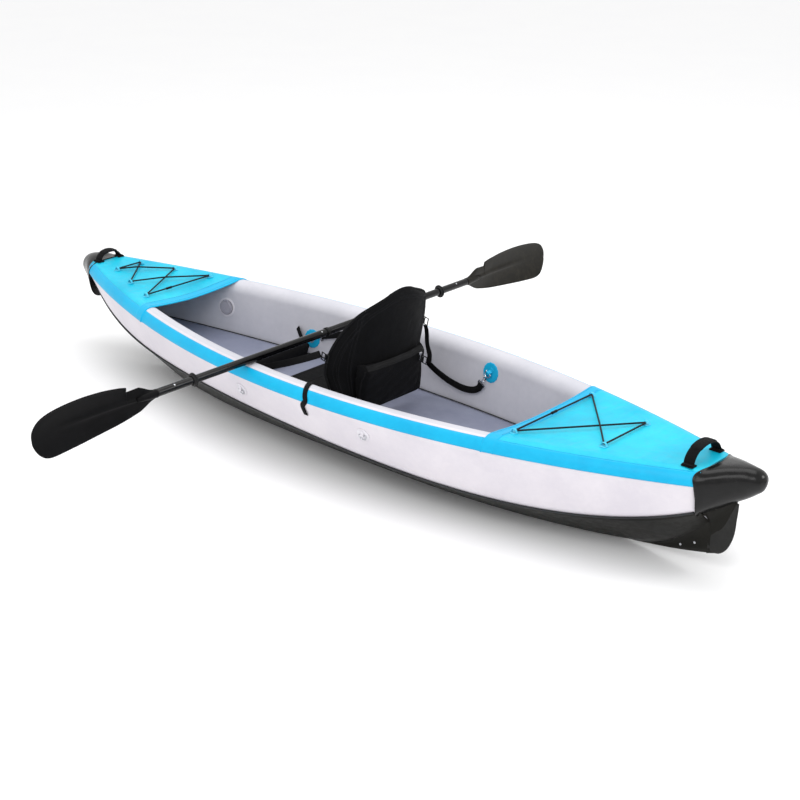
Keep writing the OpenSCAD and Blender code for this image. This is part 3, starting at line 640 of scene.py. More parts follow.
def bottom_line(x, y):
    """Height of the bottom skin: rounded at the chine, hollow towards the stern."""
    flat, chine, keel = flat_y(x), chine_y(x), keel_z(x)
    if abs(y) <= flat:
        return keel
    t = (abs(y) - flat) / (chine - flat)
    return keel + (chine_z(x) - keel) * t


def wall_section(x, n_wall=14, n_top=18):
    """Port chamber section, anticlockwise seen from the bow, with a full, slightly swollen skin."""
    w, t = gun_y(x), thick(x)
    r = t / 2
    foot = floor_top(x)
    yi = inner_y(x, foot)
    low = bottom_line(x, yi) + CHAMBER_UP
    full = 0.0016 * smooth_step(0.0, 0.4, t / WALL)
    pts = []
    for s in np.linspace(0, 1, n_wall, endpoint=False):
        z = chine_z(x) + CHAMBER_UP + (arc_z(x) - chine_z(x) - CHAMBER_UP) * s
        pts.append((outer_y(x, z) - 0.0006 + full * math.sin(math.pi * s) * 0.5, z))
    pts[0] = (pts[0][0] - 0.004, pts[0][1] - 0.001)
    for a in np.linspace(0, math.pi, n_top):
        pts.append((w - r + r * math.cos(a), arc_z(x) + r * math.sin(a)))
    zb = max(foot, low + 0.008)
    for s in np.linspace(0, 1, n_wall)[1:]:
        z = arc_z(x) + (zb - arc_z(x)) * s
        bulge = full * math.sin(math.pi * s) * 0.4
        pts.append((inner_y(x, z) - bulge, z))
    pts.append((yi, low))
    mid = (yi + chine_y(x)) / 2
    pts.append((mid, bottom_line(x, mid) + CHAMBER_UP))
    return [(x, y, z) for y, z in pts]


def band_section(x, a, b, lift, n=8):
    """Points round the outside of the port wall's top from angle a to b, lifted off it."""
    r = thick(x) / 2
    return [(x, gun_y(x) - r + (r + lift) * math.cos(q), arc_z(x) + (r + lift) * math.sin(q))
            for q in np.linspace(a, b, n)]


def build_chambers():
    xs = np.linspace(STERN_END, BOW_END, 150)
    port = loft("side_chamber_port_skin", [wall_section(x) for x in xs], LIGHT, slot="light_fabric")
    # Faces turned into the cockpit get the darker copy: painted shade on the same light cloth.
    port.data.materials.append(WALL_SHADE_PAINTED)
    for face in port.data.polygons:
        if face.normal.y < 0.2 and face.normal.z > -0.5:
            face.material_index = 1
    starboard = mirrored(port, "side_chamber_starboard_skin")
    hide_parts("side_chamber_port")
    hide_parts("side_chamber_starboard")
    rings = []
    for x in np.linspace(*FLOOR_ENDS, 110):
        h = inner_y(x, floor_top(x)) - 0.0008
        f = min(flat_y(x), h - 0.006)
        top = []
        for k in np.linspace(1, -1, 25):
            edge = (1 - abs(k)) * h
            fall = 0.009 * math.exp(-edge / 0.011)
            top.append((x, h * k, floor_top(x) - fall + 0.0006 * (1 - k * k)))
        low = [(x, y, bottom_line(x, abs(y)) + CHAMBER_UP + 0.001) for y in (-h, -f, f, h)]
        rings.append(top + low)
    floor = loft("floor_chamber_skin", rings, FLOOR_CLOTH, slot="floor_fabric")
    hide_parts("floor_chamber")
    for side in (1, -1):
        edge = [(x, side * (inner_y(x, floor_top(x)) - 0.0065), floor_top(x) - 0.0028)
                for x in np.linspace(-1.2, 1.24, 120)]
        sweep(f"floor_seam_{'port' if side > 0 else 'starboard'}", edge, circle(0.0016, 8), PIPING)


def build_band():
    """The blue band along each gunwale, from cap to cap, over the decks' edges."""
    upper, lower = [], []
    for x in np.linspace(STERN_END + 0.003, BOW_END - 0.003, 170):
        over = max(smooth_step(BOW_DECK - 0.012, BOW_DECK + 0.004, x),
                   smooth_step(STERN_DECK + 0.012, STERN_DECK - 0.004, x))
        lift = 0.0010 + 0.0030 * over
        wide = BAND_TO * min(1, thick(x) / WALL + 0.1)
        rows = band_section(x, BAND_FROM, wide, lift)
        inner = band_section(x, BAND_FROM, wide, lift - 0.0009)
        upper.append(rows)
        lower.append(inner)
    port = sheet("gunwale_band_port", upper, lower, BAND, slot="blue_fabric")
    mirrored(port, "gunwale_band_starboard")
    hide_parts("gunwale_stripes")


def bottom_section(x, up, n=9):
    c, f = chine_y(x), flat_y(x)
    ys = [c - (c - f) * s for s in np.linspace(0, 1, n)] + [0.0]
    ys = ys + [-y for y in reversed(ys[:-1])]
    return [(x, y, bottom_line(x, y) + up) for y in ys]


def build_bottom():
    xs = np.linspace(STERN_END - 0.002, BOW_END - 0.006, 120)
    skin = sheet("bottom_skin", [bottom_section(x, 0.0025) for x in xs], [bottom_section(x, 0) for x in xs],
                 BOTTOM, slot="bottom_fabric")
    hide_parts("hull_skin")
    for side, tag in SIDES:
        line = [(x, side * (chine_y(x) + 0.0005), chine_z(x) + 0.0022)
                for x in np.linspace(STERN_END + 0.014, BOW_END - 0.004, 130)]
        sweep(f"chine_piping_{tag}", line, circle(0.0032, 8), PIPING, slot="bottom_fabric")


# ------------------------------------------------------------------ decks
def deck_end(x):
    return BOW_END - 0.0008 if x > 0 else STERN_END + 0.0008


def sag(x):
    edge = BOW_DECK if x > 0 else STERN_DECK
    return 0.016 * ((x - deck_end(x)) / (edge - deck_end(x))) ** 2


def deck_top(x, y):
    k = min(1, abs(y) / (gun_y(x) - thick(x) / 2))
    return gun_z(x) + 0.0033 - sag(x) * (1 - k * k)


def deck_wrinkle(x, y):
    """Puckers that run from the gunwales and the hem into the cloth between them."""
    k = abs(y) / max(0.02, gun_y(x) - thick(x) / 2)
    if k >= 1:
        return 0.0
    near_side = math.exp(-((1 - k) / 0.35))
    folds = math.sin(150 * x + 9 * ripple(x, y, 0.2)) * math.sin(41 * x + 3.0)
    broad = ripple(2.1 * x, 2.4 * y, 0.4)
    fade = min(1, (1 - k) / 0.18)
    return (0.0016 * folds * near_side + 0.0013 * broad) * fade


def deck_line(x, up):
    r = thick(x) / 2
    side = [(x, gun_y(x) - r + (r + up) * math.cos(a), arc_z(x) + (r + up) * math.sin(a))
            for a in np.linspace(BAND_FROM, math.pi / 2, 9)]
    edge = gun_y(x) - r
    ks = np.linspace(1, -1, 33)[1:-1]
    middle = [(x, edge * k, gun_z(x) + up - sag(x) * (1 - k * k) + deck_wrinkle(x, edge * k)) for k in ks]
    return side + middle + [(px, -py, pz) for px, py, pz in reversed(side)]


def build_deck(name, node, x0, x1, hem_x, hem_w):
    xs = np.linspace(x0, x1, 90)
    deck = sheet(name, [deck_line(x, 0.0030) for x in xs], [deck_line(x, 0.0008) for x in xs],
                 DECK, slot="blue_fabric")
    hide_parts(node)
    inward = 1 if hem_x > 0 else -1
    strip = [hem_x + inward * k for k in np.linspace(-0.0015, hem_w, 14)]
    hem_lines = []
    for k, x in enumerate(strip):
        fall = 0.0011 * smooth_step(0.94, 1, abs(k / 13.0))
        hem_lines.append([(px, py, pz - fall) for px, py, pz in deck_line(x, 0.0044)])
    sheet(name + "_hem", hem_lines, [deck_line(x, 0.0026) for x in strip], BAND, slot="blue_fabric")
    for k, inset in enumerate((0.006, hem_w - 0.006)):
        line = deck_line(hem_x + inward * inset, 0.0047)[8:-8]
        stitches(f"{name}_hem_stitches_{k}", line, (0, 0, 1), BLUE_THREAD)
    edge = [(px, py, pz - 0.0012) for px, py, pz in deck_line(hem_x - inward * 0.001, 0.003)]
    sweep(name + "_hem_cord", edge, circle(0.0030, 8), BAND, slot="blue_fabric")
    return deck


def build_decks():
    build_deck("bow_deck_cloth", "bow_deck", BOW_DECK, deck_end(1), BOW_DECK, 0.045)
    build_deck("stern_deck_cloth", "stern_deck", deck_end(-1), STERN_DECK, STERN_DECK, 0.042)


# ------------------------------------------------------------------ end caps
STERN_ROWS = V3([[0, 107, 206, 361], [.22, 90, 224, 369], [.45, 67, 250, 375], [.68, 47, 275, 377],
                 [.85, 38, 297, 373], [.95, 26, 312, 362], [1, 8, 330, 347]]) / [1, 1000, 1000, 1000]
BOW_ROWS = V3([[0, 90, 213, 374], [.22, 77, 226, 378], [.45, 60, 238, 378], [.68, 45, 251, 372],
               [.85, 36, 265, 362], [.95, 25, 280, 348], [1, 8, 305, 328]]) / [1, 1000, 1000, 1000]


def cap_size(rows, x0, x):
    """Half width, bottom and top of a cap at x; ahead of x0 it wraps the hull itself."""
    share_along = (abs(x) - abs(x0)) / (HALF - abs(x0))
    if share_along >= 0:
        return [float(np.interp(share_along, rows[:, 0], rows[:, k])) for k in (1, 2, 3)]
    hull_change = (gun_y(x) - gun_y(x0), chine_z(x) - chine_z(x0), gun_z(x) - gun_z(x0))
    return [base + change for base, change in zip(rows[0, 1:], hull_change)]


def cap_rim(a, stern):
    """How far ahead of the hull's end the cap's rim lies, at angle a round it."""
    top = math.sin(a)
    side = abs(math.cos(a))
    if stern:
        return 0.019 * side * max(0, top) * 1.6 - 0.015 * max(0, top) ** 6 + 0.016 * max(0, -top) ** 2 + 0.003
    return 0.030 * max(0, top) ** 1.5 + 0.010 * side


def build_cap(name, node, x0, rows, stern):
    d = -1 if stern else 1
    dense = spline(rows, 90)
    dense[:, 0] = np.maximum.accumulate(dense[:, 0])
    rings = []
    angles = turns_of(72)
    towards_tip = 1 - 0.1 * np.linspace(1, 0, 14)[1:] ** 2
    for t in np.concatenate([[0, 0.004], np.linspace(0.012, 0.9, 44), towards_tip]):
        ring = []
        for a in angles:
            rim = x0 - d * cap_rim(a, stern)
            x = rim + (d * HALF - rim) * t
            h, zb, zt = cap_size(dense, x0, x)
            zb -= 0.012 * math.exp(-t / 0.12) if stern else 0
            power = 2 / (2.0 + 1.3 * (1 - t) ** 1.5)
            c, s = math.cos(a), math.sin(a)
            cc = math.copysign(abs(c) ** power, c)
            ss = math.copysign(abs(s) ** power, s)
            zm = zt - 0.42 * (zt - zb)
            narrow = 1 + ss * (0.12 + 0.14 * smooth_step(0, 0.25, t)) if ss < 0 else 1
            crease = 0.010 * math.sin(5 * a + 1.2 + 4 * t) * math.exp(-t / 0.3) * smooth_step(0, 0.06, t)
            crease += 0.008 * ripple(6 * x, 3 * c, 3 * s) * smooth_step(0, 0.1, t) * (1 - t)
            edge = 0.0016 * math.exp(-((t - 0.022) / 0.012) ** 2) - (0.0012 if t == 0 else 0)
            lip = (0.0030 if stern else 0.0014) * (1 + abs(math.sin(2 * a))) * math.exp(-t / 0.10)
            y = (h * (1 + crease) + edge + lip) * cc * narrow
            z = zm + ((zm - zb) if ss < 0 else (zt - zm)) * ss * (1 + crease * 0.4) + edge * ss
            ring.append((x, y, z))
        rings.append(ring)
    cap = loft(name, rings, CAP, slot="cap_rubber")
    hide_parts(node)


# ------------------------------------------------------------------ stern: fairing, fin
def fairing_section(x):
    """Hollow flanks that run from the bottom skin into a thin upright web."""
    if x > STERN_END:
        k, w = keel_z(x), web_z(x)
        b = 0.052 * smooth_step(-1.12, -1.33, x) + 0.001
        top = (b, bottom_line(x, b) - 0.0003)
        mid = w + 0.5 * (k - w)
        start = min(mid + 0.005, k - 0.0005)
        curve = bezier((0.0052, start, 0), (0.0062, start + 0.55 * (k - start), 0),
                       (b * 0.42, top[1] - 0.10 * (top[1] - start), 0), (top[0], top[1], 0), 12)[::-1]
        port = [(p[0], p[1]) for p in curve] + [(0.0050, w + 0.3 * (k - w)), (0.0036, w + 0.001), (0.0022, w)]
    else:
        s = (x - STERN_END) / (FAIRING_END - STERN_END)
        half = 0.074 * (1 - s) ** 0.9 + 0.012 * s
        top_z = 0.220 + 0.048 * s
        w = 0.055 + (0.236 - 0.055) * s ** 1.4
        k = 0.150 + 0.094 * s ** 1.1
        low = max(w, k - 0.10 * (1 - s))
        curve = bezier((0.0042, low + 0.5 * (k - low), 0), (0.0048, k, 0),
                       (half * 0.35, top_z - 0.02 * (1 - s), 0),
                       (half, top_z, 0), 12)[::-1]
        port = [(p[0], p[1]) for p in curve] + [(0.0036, low + 0.2 * (k - low)), (0.0030, low + 0.001),
                                                (0.0020, low)]
    return [(x, y, z) for y, z in port] + [(x, -y, z) for y, z in reversed(port)]


def build_fairing():
    xs = np.concatenate([np.linspace(FAIRING_START, STERN_END + 0.0005, 60),
                         np.linspace(STERN_END - 0.001, FAIRING_END, 26)])
    fairing = loft("keel_fairing_skin", [fairing_section(x) for x in xs], BOTTOM, slot="bottom_fabric")
    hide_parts("keel_fairing")
    rings = []
    for z in np.concatenate([np.linspace(0.0462, 0.056, 8), np.linspace(0.058, 0.246, 40)]):
        if z < 0.056:
            aft = -1.442 - 0.029 * (z - 0.046) / 0.010
        elif z < 0.184:
            aft = -1.471 - 0.066 * math.sqrt(max(0, 1 - (1 - (z - 0.056) / 0.128) ** 2))
        else:
            aft = -1.537 - 0.004 * math.sin((z - 0.184) / 0.062 * math.pi / 2)
        fore = -1.4425
        chord = fore - aft
        tip = smooth_step(0.046, 0.075, z)
        ring = []
        for s in np.linspace(0, 1, 14):
            half = (0.0046 * (1 - s) ** 0.6 + 0.0007) * (0.45 + 0.55 * tip) * min(1, 8 * s + 0.55)
            ring.append((fore - chord * s, half, z))
        rings.append(ring + [(px, -py, pz) for px, py, pz in reversed(ring)])
    fin = loft("skeg_fin_moulding", rings, FIN, slot="fin_plastic")
    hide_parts("skeg_fin")


# ------------------------------------------------------------------ deck lacing and handles
BOW_EYES = V3([[1.340, 0.060], [1.190, 0.114], [1.031, 0.163]])
STERN_EYES = V3([[-0.842, 0.204], [-1.123, 0.114]])
CORD_R = 0.003
CORD_UP = 0.0076
OVER = 0.0068
BEND = 0.012


def laced(p, side):
    return V3([p[0], p[1] * side, deck_top(p[0], p[1]) + CORD_UP])


def crossing(p, q, side, over):
    s = p[1] / (p[1] + q[1])
    return laced(p, side) * (1 - s) + laced(q, -side) * s + V3([0, 0, over])


def lacing(name, node, splice, stops, turns):
    """One cord that runs from its splice through every stop and back."""
    full = [V3(splice)] + [V3(s) for s in stops] + [V3(splice)]
    path = [full[0] + 0.003 * unit(full[1] - full[0])]
    for i in range(1, len(full) - 1):
        p, before, after = full[i], unit(full[i - 1] - full[i]), unit(full[i + 1] - full[i])
        if turns[i - 1]:
            u, v = p + BEND * before, p + BEND * after
            path += [u * (1 - s) ** 2 + 2 * p * s * (1 - s) + v * s * s for s in np.linspace(0, 1, 9)]
        else:
            path += [p + before * 0.02, p, p + after * 0.02]
    path.append(full[-1] + 0.003 * unit(full[-2] - full[-1]))
    dense = [V3(path[0])]
    for a, b in zip(path[:-1], path[1:]):
        steps = max(1, int(np.linalg.norm(b - a) / 0.012))
        dense += [a + (b - a) * k / steps for k in range(1, steps + 1)]
    cord = sweep(name, dense, circle(CORD_R, 12), CORD, slot="cord")
    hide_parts(node)
    run = unit(full[1] - full[0])
    sleeve = [V3(splice) + run * k for k in (-0.014, -0.013, -0.011, -0.004, 0.004, 0.011, 0.013, 0.014)]
    scales = (0.75, 0.95, 1.0, 0.9, 0.9, 1.0, 0.95, 0.75)
    rings = []
    side = unit(np.cross(run, [0, 0, 1]))
    for p, scale in zip(sleeve, scales):
        rings.append([p + (side * q[0] + V3([0, 0, 1]) * q[1]) * scale for q in circle(0.0050, 16)])
    loft(name + "_sleeve", rings, BLACK_PLASTIC, slot="cord")


def build_loop(name, p, side):
    """A round welded base with a short webbing loop over the cord."""
    x, y = p[0], p[1] * side
    z = deck_top(x, y) + 0.0012
    rings = []
    for r, up in ((0.0130, -0.0005), (0.0134, 0.0005), (0.0126, 0.0012), (0.0090, 0.0016), (0.0004, 0.0017)):
        rings.append([(x + q[0], y + q[1], z + up) for q in circle(r, 28)])
    base = loft(name + "_base", rings, LOOP_BLUE, slot="blue_fabric")
    arch = [(-0.0125, 0.0020), (-0.0095, 0.0030), (-0.0083, 0.0065), (-0.0062, 0.0108), (0, 0.0125),
            (0.0062, 0.0108), (0.0083, 0.0065), (0.0095, 0.0030), (0.0125, 0.0020)]
    path = [(x + a, y, z + b) for a, b in flat_spline(arch, 24)]
    band = sweep(name + "_band", path, strap_profile(0.0085, 0.0012), LOOP_BLUE, across=(0, 1, 0),
                 slot="blue_fabric")
    return join(name, [base, band])


def build_lacing():
    a, b, c = BOW_EYES
    first = laced(c, 1) * 0.65 + laced(c, -1) * 0.35
    lacing("bow_bungee_cord", "bow_bungee", first,
           [laced(c, 1), crossing(c, b, 1, 0), laced(b, -1), crossing(b, a, -1, OVER), laced(a, 1),
            laced(a, -1), crossing(a, b, -1, 0), laced(b, 1), crossing(b, c, 1, OVER), laced(c, -1)],
           [True, False, True, False, True, True, False, True, False, True])
    a, b = STERN_EYES
    lacing("stern_bungee_cord", "stern_bungee", (laced(a, 1) + laced(a, -1)) / 2,
           [laced(a, 1), crossing(a, b, 1, 0), laced(b, -1), laced(b, 1), crossing(b, a, 1, OVER),
            laced(a, -1)],
           [True, False, True, True, False, True])
    eyes = list(BOW_EYES) + list(STERN_EYES)
    loops = [build_loop(f"loop_{k}_{side}", p, side) for k, p in enumerate(eyes) for side in (1, -1)]
    loops = join("deck_loop_set", loops)
    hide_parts("deck_loops")


GRIP_HALF = 0.0198


def build_handle(name, node, x, rise):
    h = gun_y(x) - thick(x) / 2
    z = gun_z(x) + 0.0087
    top = z + rise * 1.25
    arc = bezier((x, h, z), (x, h * 0.75, top), (x, -h * 0.75, top), (x, -h, z), 40)
    path = np.vstack([[(x, h + 0.011, z - 0.0004)], [(x, h + 0.005, z - 0.0002)], arc,
                      [(x, -h - 0.005, z - 0.0002)], [(x, -h - 0.011, z - 0.0004)]])
    path = spline(path, 70)
    path[:, 0] += 0.0012 * np.sin(np.linspace(0, 9, len(path)))
    strap = sweep(name, path, strap_profile(0.0375, 0.0024), WEBBING, across=(1, 0, 0), slot="webbing")
    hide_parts(node)
    dist = lengths(path)
    inner = path[(dist > dist[-1] * 0.27) & (dist < dist[-1] * 0.73)]
    rings = []
    count = len(inner)
    tan = tangents(inner)
    for k, (p, t) in enumerate(zip(inner, tan)):
        end = min(1, min(k, count - 1 - k) / 2.0)
        w = GRIP_HALF
        u = V3([1.0, 0, 0])
        up = np.cross(t, u)
        wave = 1 + 0.05 * math.sin(1.7 * k)
        rings.append([p + u * w * math.copysign(abs(math.cos(a)) ** 0.5, math.cos(a)) * (0.8 + 0.2 * end)
                      + up * (0.0042 * wave * end + 0.0013)
                      * math.copysign(abs(math.sin(a)) ** 0.8, math.sin(a))
                      for a in turns_of(24)])
    loft(name + "_grip", rings, SEAT_EDGE, slot="webbing")
    for side, tag in SIDES:
        y = side * h
        zt = gun_z(x) + 0.0033
        rings = []
        for grow, up in ((0.0, 0.0004), (0.0006, 0.0016), (-0.0002, 0.0030), (-0.006, 0.0036)):
            rings.append(rounded_rectangle(x, y, zt + up, 0.021 + grow, 0.0145 + grow, 0.005))
        loft(f"{name}_tab_{tag}", rings, WEBBING, slot="webbing")
        box = rounded_rectangle(x, y, zt + 0.0071, 0.0125, 0.0095, 0.001)
        stitches(f"{name}_tab_stitches_{tag}", box + box[:1], (0, 0, 1), THREAD, spacing=0.004, size=0.0028)


def rounded_rectangle(x, y, z, a, b, r, n=5):
    pts = []
    for cx, cy, start in ((1, 1, 0), (-1, 1, 90), (-1, -1, 180), (1, -1, 270)):
        for k in range(n):
            q = math.radians(start + 90 * k / (n - 1))
            pts.append((x + cx * (a - r) + r * math.cos(q), y + cy * (b - r) + r * math.sin(q), z))
    return pts


def build_handles():
    build_handle("bow_handle_strap", "bow_handle", 1.474, 0.034)
    build_handle("stern_handle_strap", "stern_handle", -1.405, 0.052)
    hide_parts("handle_tabs")


# ------------------------------------------------------------------ fittings on the walls
def wall_frame(x, z, side, inner):
    """Local +Z leaves the wall and +Y runs up along it, as the CAD places its fittings."""
    line = inner_y if inner else outer_y
    yaw = math.atan((line(x + 0.001, z) - line(x - 0.001, z)) / 0.002)
    tilt = math.atan((line(x, z + 0.005) - line(x, z - 0.005)) / 0.010)
    if inner:
        turn = Matrix.Rotation(yaw, 4, "Z") @ Matrix.Rotation(math.pi / 2 - tilt, 4, "X")
    else:
        turn = Matrix.Rotation(yaw + math.pi, 4, "Z") @ Matrix.Rotation(math.pi / 2 + tilt, 4, "X")
    matrix = Matrix.Translation((x, line(x, z), z)) @ turn
    return matrix if side > 0 else Matrix.Diagonal((1, -1, 1, 1)) @ matrix


def build_ring_patch(name, matrix, radius, up, sleeve, cloth, scallops):
    """A welded patch with a scalloped rim and the webbing that holds the ring's straight side."""
    rings = []
    for share_out, height in ((1.0, 0.0004), (1.01, 0.0014), (0.97, 0.0026), (0.82, 0.0031), (0.5, 0.0033),
                              (0.02, 0.0034)):
        ring = []
        for a in turns_of(96):
            wave = 1 - 0.045 * (1 - abs(math.cos(scallops * a / 2))) * smooth_step(0.6, 1.0, share_out)
            ring.append((radius * share_out * wave * math.cos(a), radius * share_out * wave * math.sin(a),
                         height))
        rings.append(ring)
    disc = loft(name + "_disc", rings, cloth, slot="blue_fabric")
    wrap = 0.0035
    arc = [(wrap * math.cos(a), up + wrap * math.sin(a)) for a in np.linspace(-0.5, math.pi + 0.5, 15)]
    foot = [(0.019, 0.0042), (0.010, 0.0045), (0.0060, 0.0055)]
    line = foot + arc + [(-a, b) for a, b in reversed(foot)]
    path = [(0, y, z) for y, z in flat_spline(line, 60)]
    loop = sweep(name + "_loop", path, strap_profile(sleeve, 0.0014), cloth, across=(1, 0, 0),
                 slot="blue_fabric")
    rows = []
    for y in (0.0125, -0.0125, 0.0165, -0.0165):
        row = [(x, y, 0.0050) for x in np.linspace(-sleeve / 2 + 0.001, sleeve / 2 - 0.001, 5)]
        rows.append(stitches(f"{name}_row", row, (0, 0, 1), TAPE if cloth is TAPE else THREAD,
                             spacing=0.003, size=0.002))
    piece = join(name, [disc, loop] + rows)
    return place(piece, matrix)


RING_UP = 0.014
INNER_RINGS = ((-0.345, 0.266, 28), (0.530, 0.186, -112))
OUTER_RINGS = ((0.265, 0.230), (-0.330, 0.230))


def build_fittings():
    inner, outer = [], []
    for side in (1, -1):
        for x, z, turn in INNER_RINGS:
            matrix = wall_frame(x, z, side, True) @ Matrix.Rotation(math.radians(turn), 4, "Z")
            inner.append(build_ring_patch(f"inner_patch_{x}_{side}", matrix, 0.037, RING_UP, 0.015,
                                          PATCH_BLUE, 14))
        for x, z in OUTER_RINGS:
            outer.append(build_ring_patch(f"outer_patch_{x}_{side}", wall_frame(x, z, side, False),
                                          0.025, 0.007, 0.014, TAPE, 0))
    patches = join("inner_ring_patch_set", inner)
    fix_normals(patches.data)
    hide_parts("inner_ring_patches")
    patches = join("outer_ring_patch_set", outer)
    fix_normals(patches.data)
    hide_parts("outer_ring_patches")
    for side, tag in SIDES:
        for label, matrix in valve_places(side):
            rings = [[(r * math.cos(a), r * math.sin(a), h) for a in turns_of(64)]
                     for r, h in ((0.0300, 0.0002), (0.0385, 0.0002), (0.0390, 0.0008), (0.0380, 0.0013),
                                  (0.0300, 0.0013))]
            ring = loft(f"valve_patch_{label}_{tag}", rings, TAPE, slot="light_fabric", cap=False)
            place(ring, matrix)
            fix_normals(ring.data)
            seal = [(0.0292 * math.cos(a), 0.0292 * math.sin(a), 0.0022)
                    for a in turns_of(64)]
            place(sweep(f"valve_seal_{label}_{tag}", seal, circle(0.0011, 8), VALVE_SEAL, closed=True),
                  matrix)


def valve_places(side):
    places = [("wall", wall_frame(0.945, 0.238, side, True))]
    if side > 0:
        x = 1.040
        tilt = Matrix.Rotation(-math.atan(0.056 * x), 4, "Y")
        places.append(("floor", Matrix.Translation((x, 0, floor_top(x))) @ tilt))
    return places


# ------------------------------------------------------------------ seat
LEAN = math.radians(13)
HINGE = V3([-0.070, 0.0, 0.150])
BACK_H = 0.478
BACK_W = 0.480
FOOT_W = 0.395
WIDE_AT = 0.42
PAD_HALF = 0.0115
ZIP_Z = 0.2085


def back_half(v):
    if v < WIDE_AT:
        return FOOT_W / 2 + (BACK_W - FOOT_W) / 2 * math.sin(math.pi / 2 * v / WIDE_AT)
    return BACK_W / 2 * math.sqrt(max(0, 1 - ((v - WIDE_AT) / (1.02 - WIDE_AT)) ** 1.8))


def wing(y, v):
    return 0.078 * (abs(y) / (BACK_W / 2)) ** 2.4 * min(1, v / 0.35)


def in_back(p):
    """From the backrest's own frame (forward, across, up its face) to the kayak's."""
    p = np.atleast_2d(V3(p, float))
    crown = np.clip((p[:, 2] / BACK_H - 0.80) / 0.20, 0, 1)
    up = p[:, 2] - 0.020 * crown * crown * (3 - 2 * crown) * np.minimum(1, (p[:, 1] / 0.075) ** 2)
    x = HINGE[0] + p[:, 0] * math.cos(LEAN) - up * math.sin(LEAN)
    z = HINGE[2] + p[:, 0] * math.sin(LEAN) + up * math.cos(LEAN)
    return np.stack([x, p[:, 1], z], 1)


def back_point(p):
    return in_back([p])[0]


def back_axis(v):
    """A direction in the backrest's frame, turned to the kayak's."""
    return back_point(v) - back_point((0, 0, 0))


def beside_back(v, out):
    e = 0.01
    run = unit([back_half(v + e) - back_half(v - e), 2 * e * BACK_H])
    return back_half(v) + out * run[1], v * BACK_H - out * run[0]


def outline(inset, n=90):
    """The back's outline from the port foot over the top to the starboard foot, moved inwards."""
    port = [beside_back(v, -inset) for v in np.linspace(0.012, 0.985, n)]
    port = [(max(y, 0.0), z) for y, z in port if y > 0.004]
    top = [(port[-1][0] * k, port[-1][1] + 0.004 * (1 - k * k)) for k in np.linspace(1, -1, 15)[1:-1]]
    return port + top + [(-y, z) for y, z in reversed(port)]


def back_surface(y, z, depth):
    return back_point((wing(y, z / BACK_H) + depth, y, z))


def slab(name, material, front, rear, nv=44, nk=44, shrink=0.0):
    """A curved, closed pad with a rounded rim, in the backrest's frame."""
    rows = []
    for v in np.linspace(0.012, 0.998, nv):
        h = back_half(v) - shrink
        line = []
        for k in np.linspace(1, -1, nk):
            y = h * math.sin(k * math.pi / 2)
            edge = min(h - abs(y), (1.0 - v) * BACK_H * 0.9 + 0.002, v * BACK_H + 0.002)
            line.append((y, v * BACK_H, math.sqrt(min(1, max(0.18, edge / 0.018)))))
        rows.append(line)
    upper = [[tuple(back_surface(y, z, rear * s)) for y, z, s in line] for line in rows]
    lower = [[tuple(back_surface(y, z, front * s)) for y, z, s in line] for line in rows]
    return sheet(name, upper, lower, material, body=None)


def remesh(obj, size):
    """An even skin over the same shape, ready for the cloth."""
    modifier = obj.modifiers.new("even", "REMESH")
    modifier.mode = "VOXEL"
    modifier.voxel_size = size
    apply_modifier(obj, modifier.name)
    return obj


def apply_modifier(obj, name):
    bpy.context.view_layer.objects.active = obj
    for other in bpy.context.selected_objects:
        other.select_set(False)
    obj.select_set(True)
    bpy.ops.object.modifier_apply(modifier=name)


def inflate(obj, pins, voxel=0.006, pressure=4.0, cap=0.006, frames=20):
    """Puffs a thin pad up as cloth. pins(co) is 1 where a seam holds the two faces, 0 in the panels."""
    remesh(obj, voxel)
    rest = coordinates(obj)
    group = obj.vertex_groups.new(name="seams")
    for index, weight in enumerate(pins(rest)):
        if weight > 0:
            group.add([index], float(weight), "REPLACE")
    cloth = obj.modifiers.new("cloth", "CLOTH")
    settings = cloth.settings
    settings.quality = 5
    settings.use_pressure = True
    settings.uniform_pressure_force = pressure
    settings.vertex_group_mass = "seams"
    settings.tension_stiffness = 12
    settings.compression_stiffness = 6
    settings.shear_stiffness = 5
    settings.bending_stiffness = 0.35
    settings.effector_weights.gravity = 0.0
    for frame_number in range(1, frames + 1):
        bpy.context.scene.frame_set(frame_number)
    apply_modifier(obj, "cloth")
    bpy.context.scene.frame_set(1)
    now = coordinates(obj)
    move = now - rest
    size = np.linalg.norm(move, axis=1)
    limit = cap * np.tanh(size / cap)
    now = rest + move * (limit / np.maximum(size, 1e-9))[:, None]
    obj.data.vertices.foreach_set("co", now.astype(np.float32).ravel())
    obj.data.update()
    return soften(obj)


def soften(obj):
    modifier = obj.modifiers.new("round", "SUBSURF")
    modifier.levels = 1
    modifier.render_levels = 1
    apply_modifier(obj, modifier.name)
    obj.data.polygons.foreach_set("use_smooth", [True] * len(obj.data.polygons))
    return obj


def coordinates(obj):
    co = np.zeros(len(obj.data.vertices) * 3)
    obj.data.vertices.foreach_get("co", co)
    return co.reshape(-1, 3)


def box_uv(obj):
    """UVs in metres from the two axes that each face looks along least."""
    mesh = obj.data
    layer = mesh.uv_layers.new(name="UVMap") if not mesh.uv_layers else mesh.uv_layers[0]
    for face in mesh.polygons:
        n = face.normal
        axis = max(range(3), key=lambda k: abs(n[k]))
        keep = [k for k in range(3) if k != axis]
        for loop in face.loop_indices:
            co = mesh.vertices[mesh.loops[loop].vertex_index].co
            layer.data[loop].uv = (co[keep[0]], co[keep[1]])
    return obj


def near_curve(co, curve, width):
    """1 close to a curve, falling to 0 at width from it."""
    curve = np.asarray(curve)
    best = np.full(len(co), 9.0)
    for start in range(0, len(curve), 16):
        part = curve[start:start + 16]
        d = np.linalg.norm(co[:, None, :] - part[None], axis=2).min(1)
        best = np.minimum(best, d)
    return np.clip(1.6 - 1.6 * best / width, 0, 1)


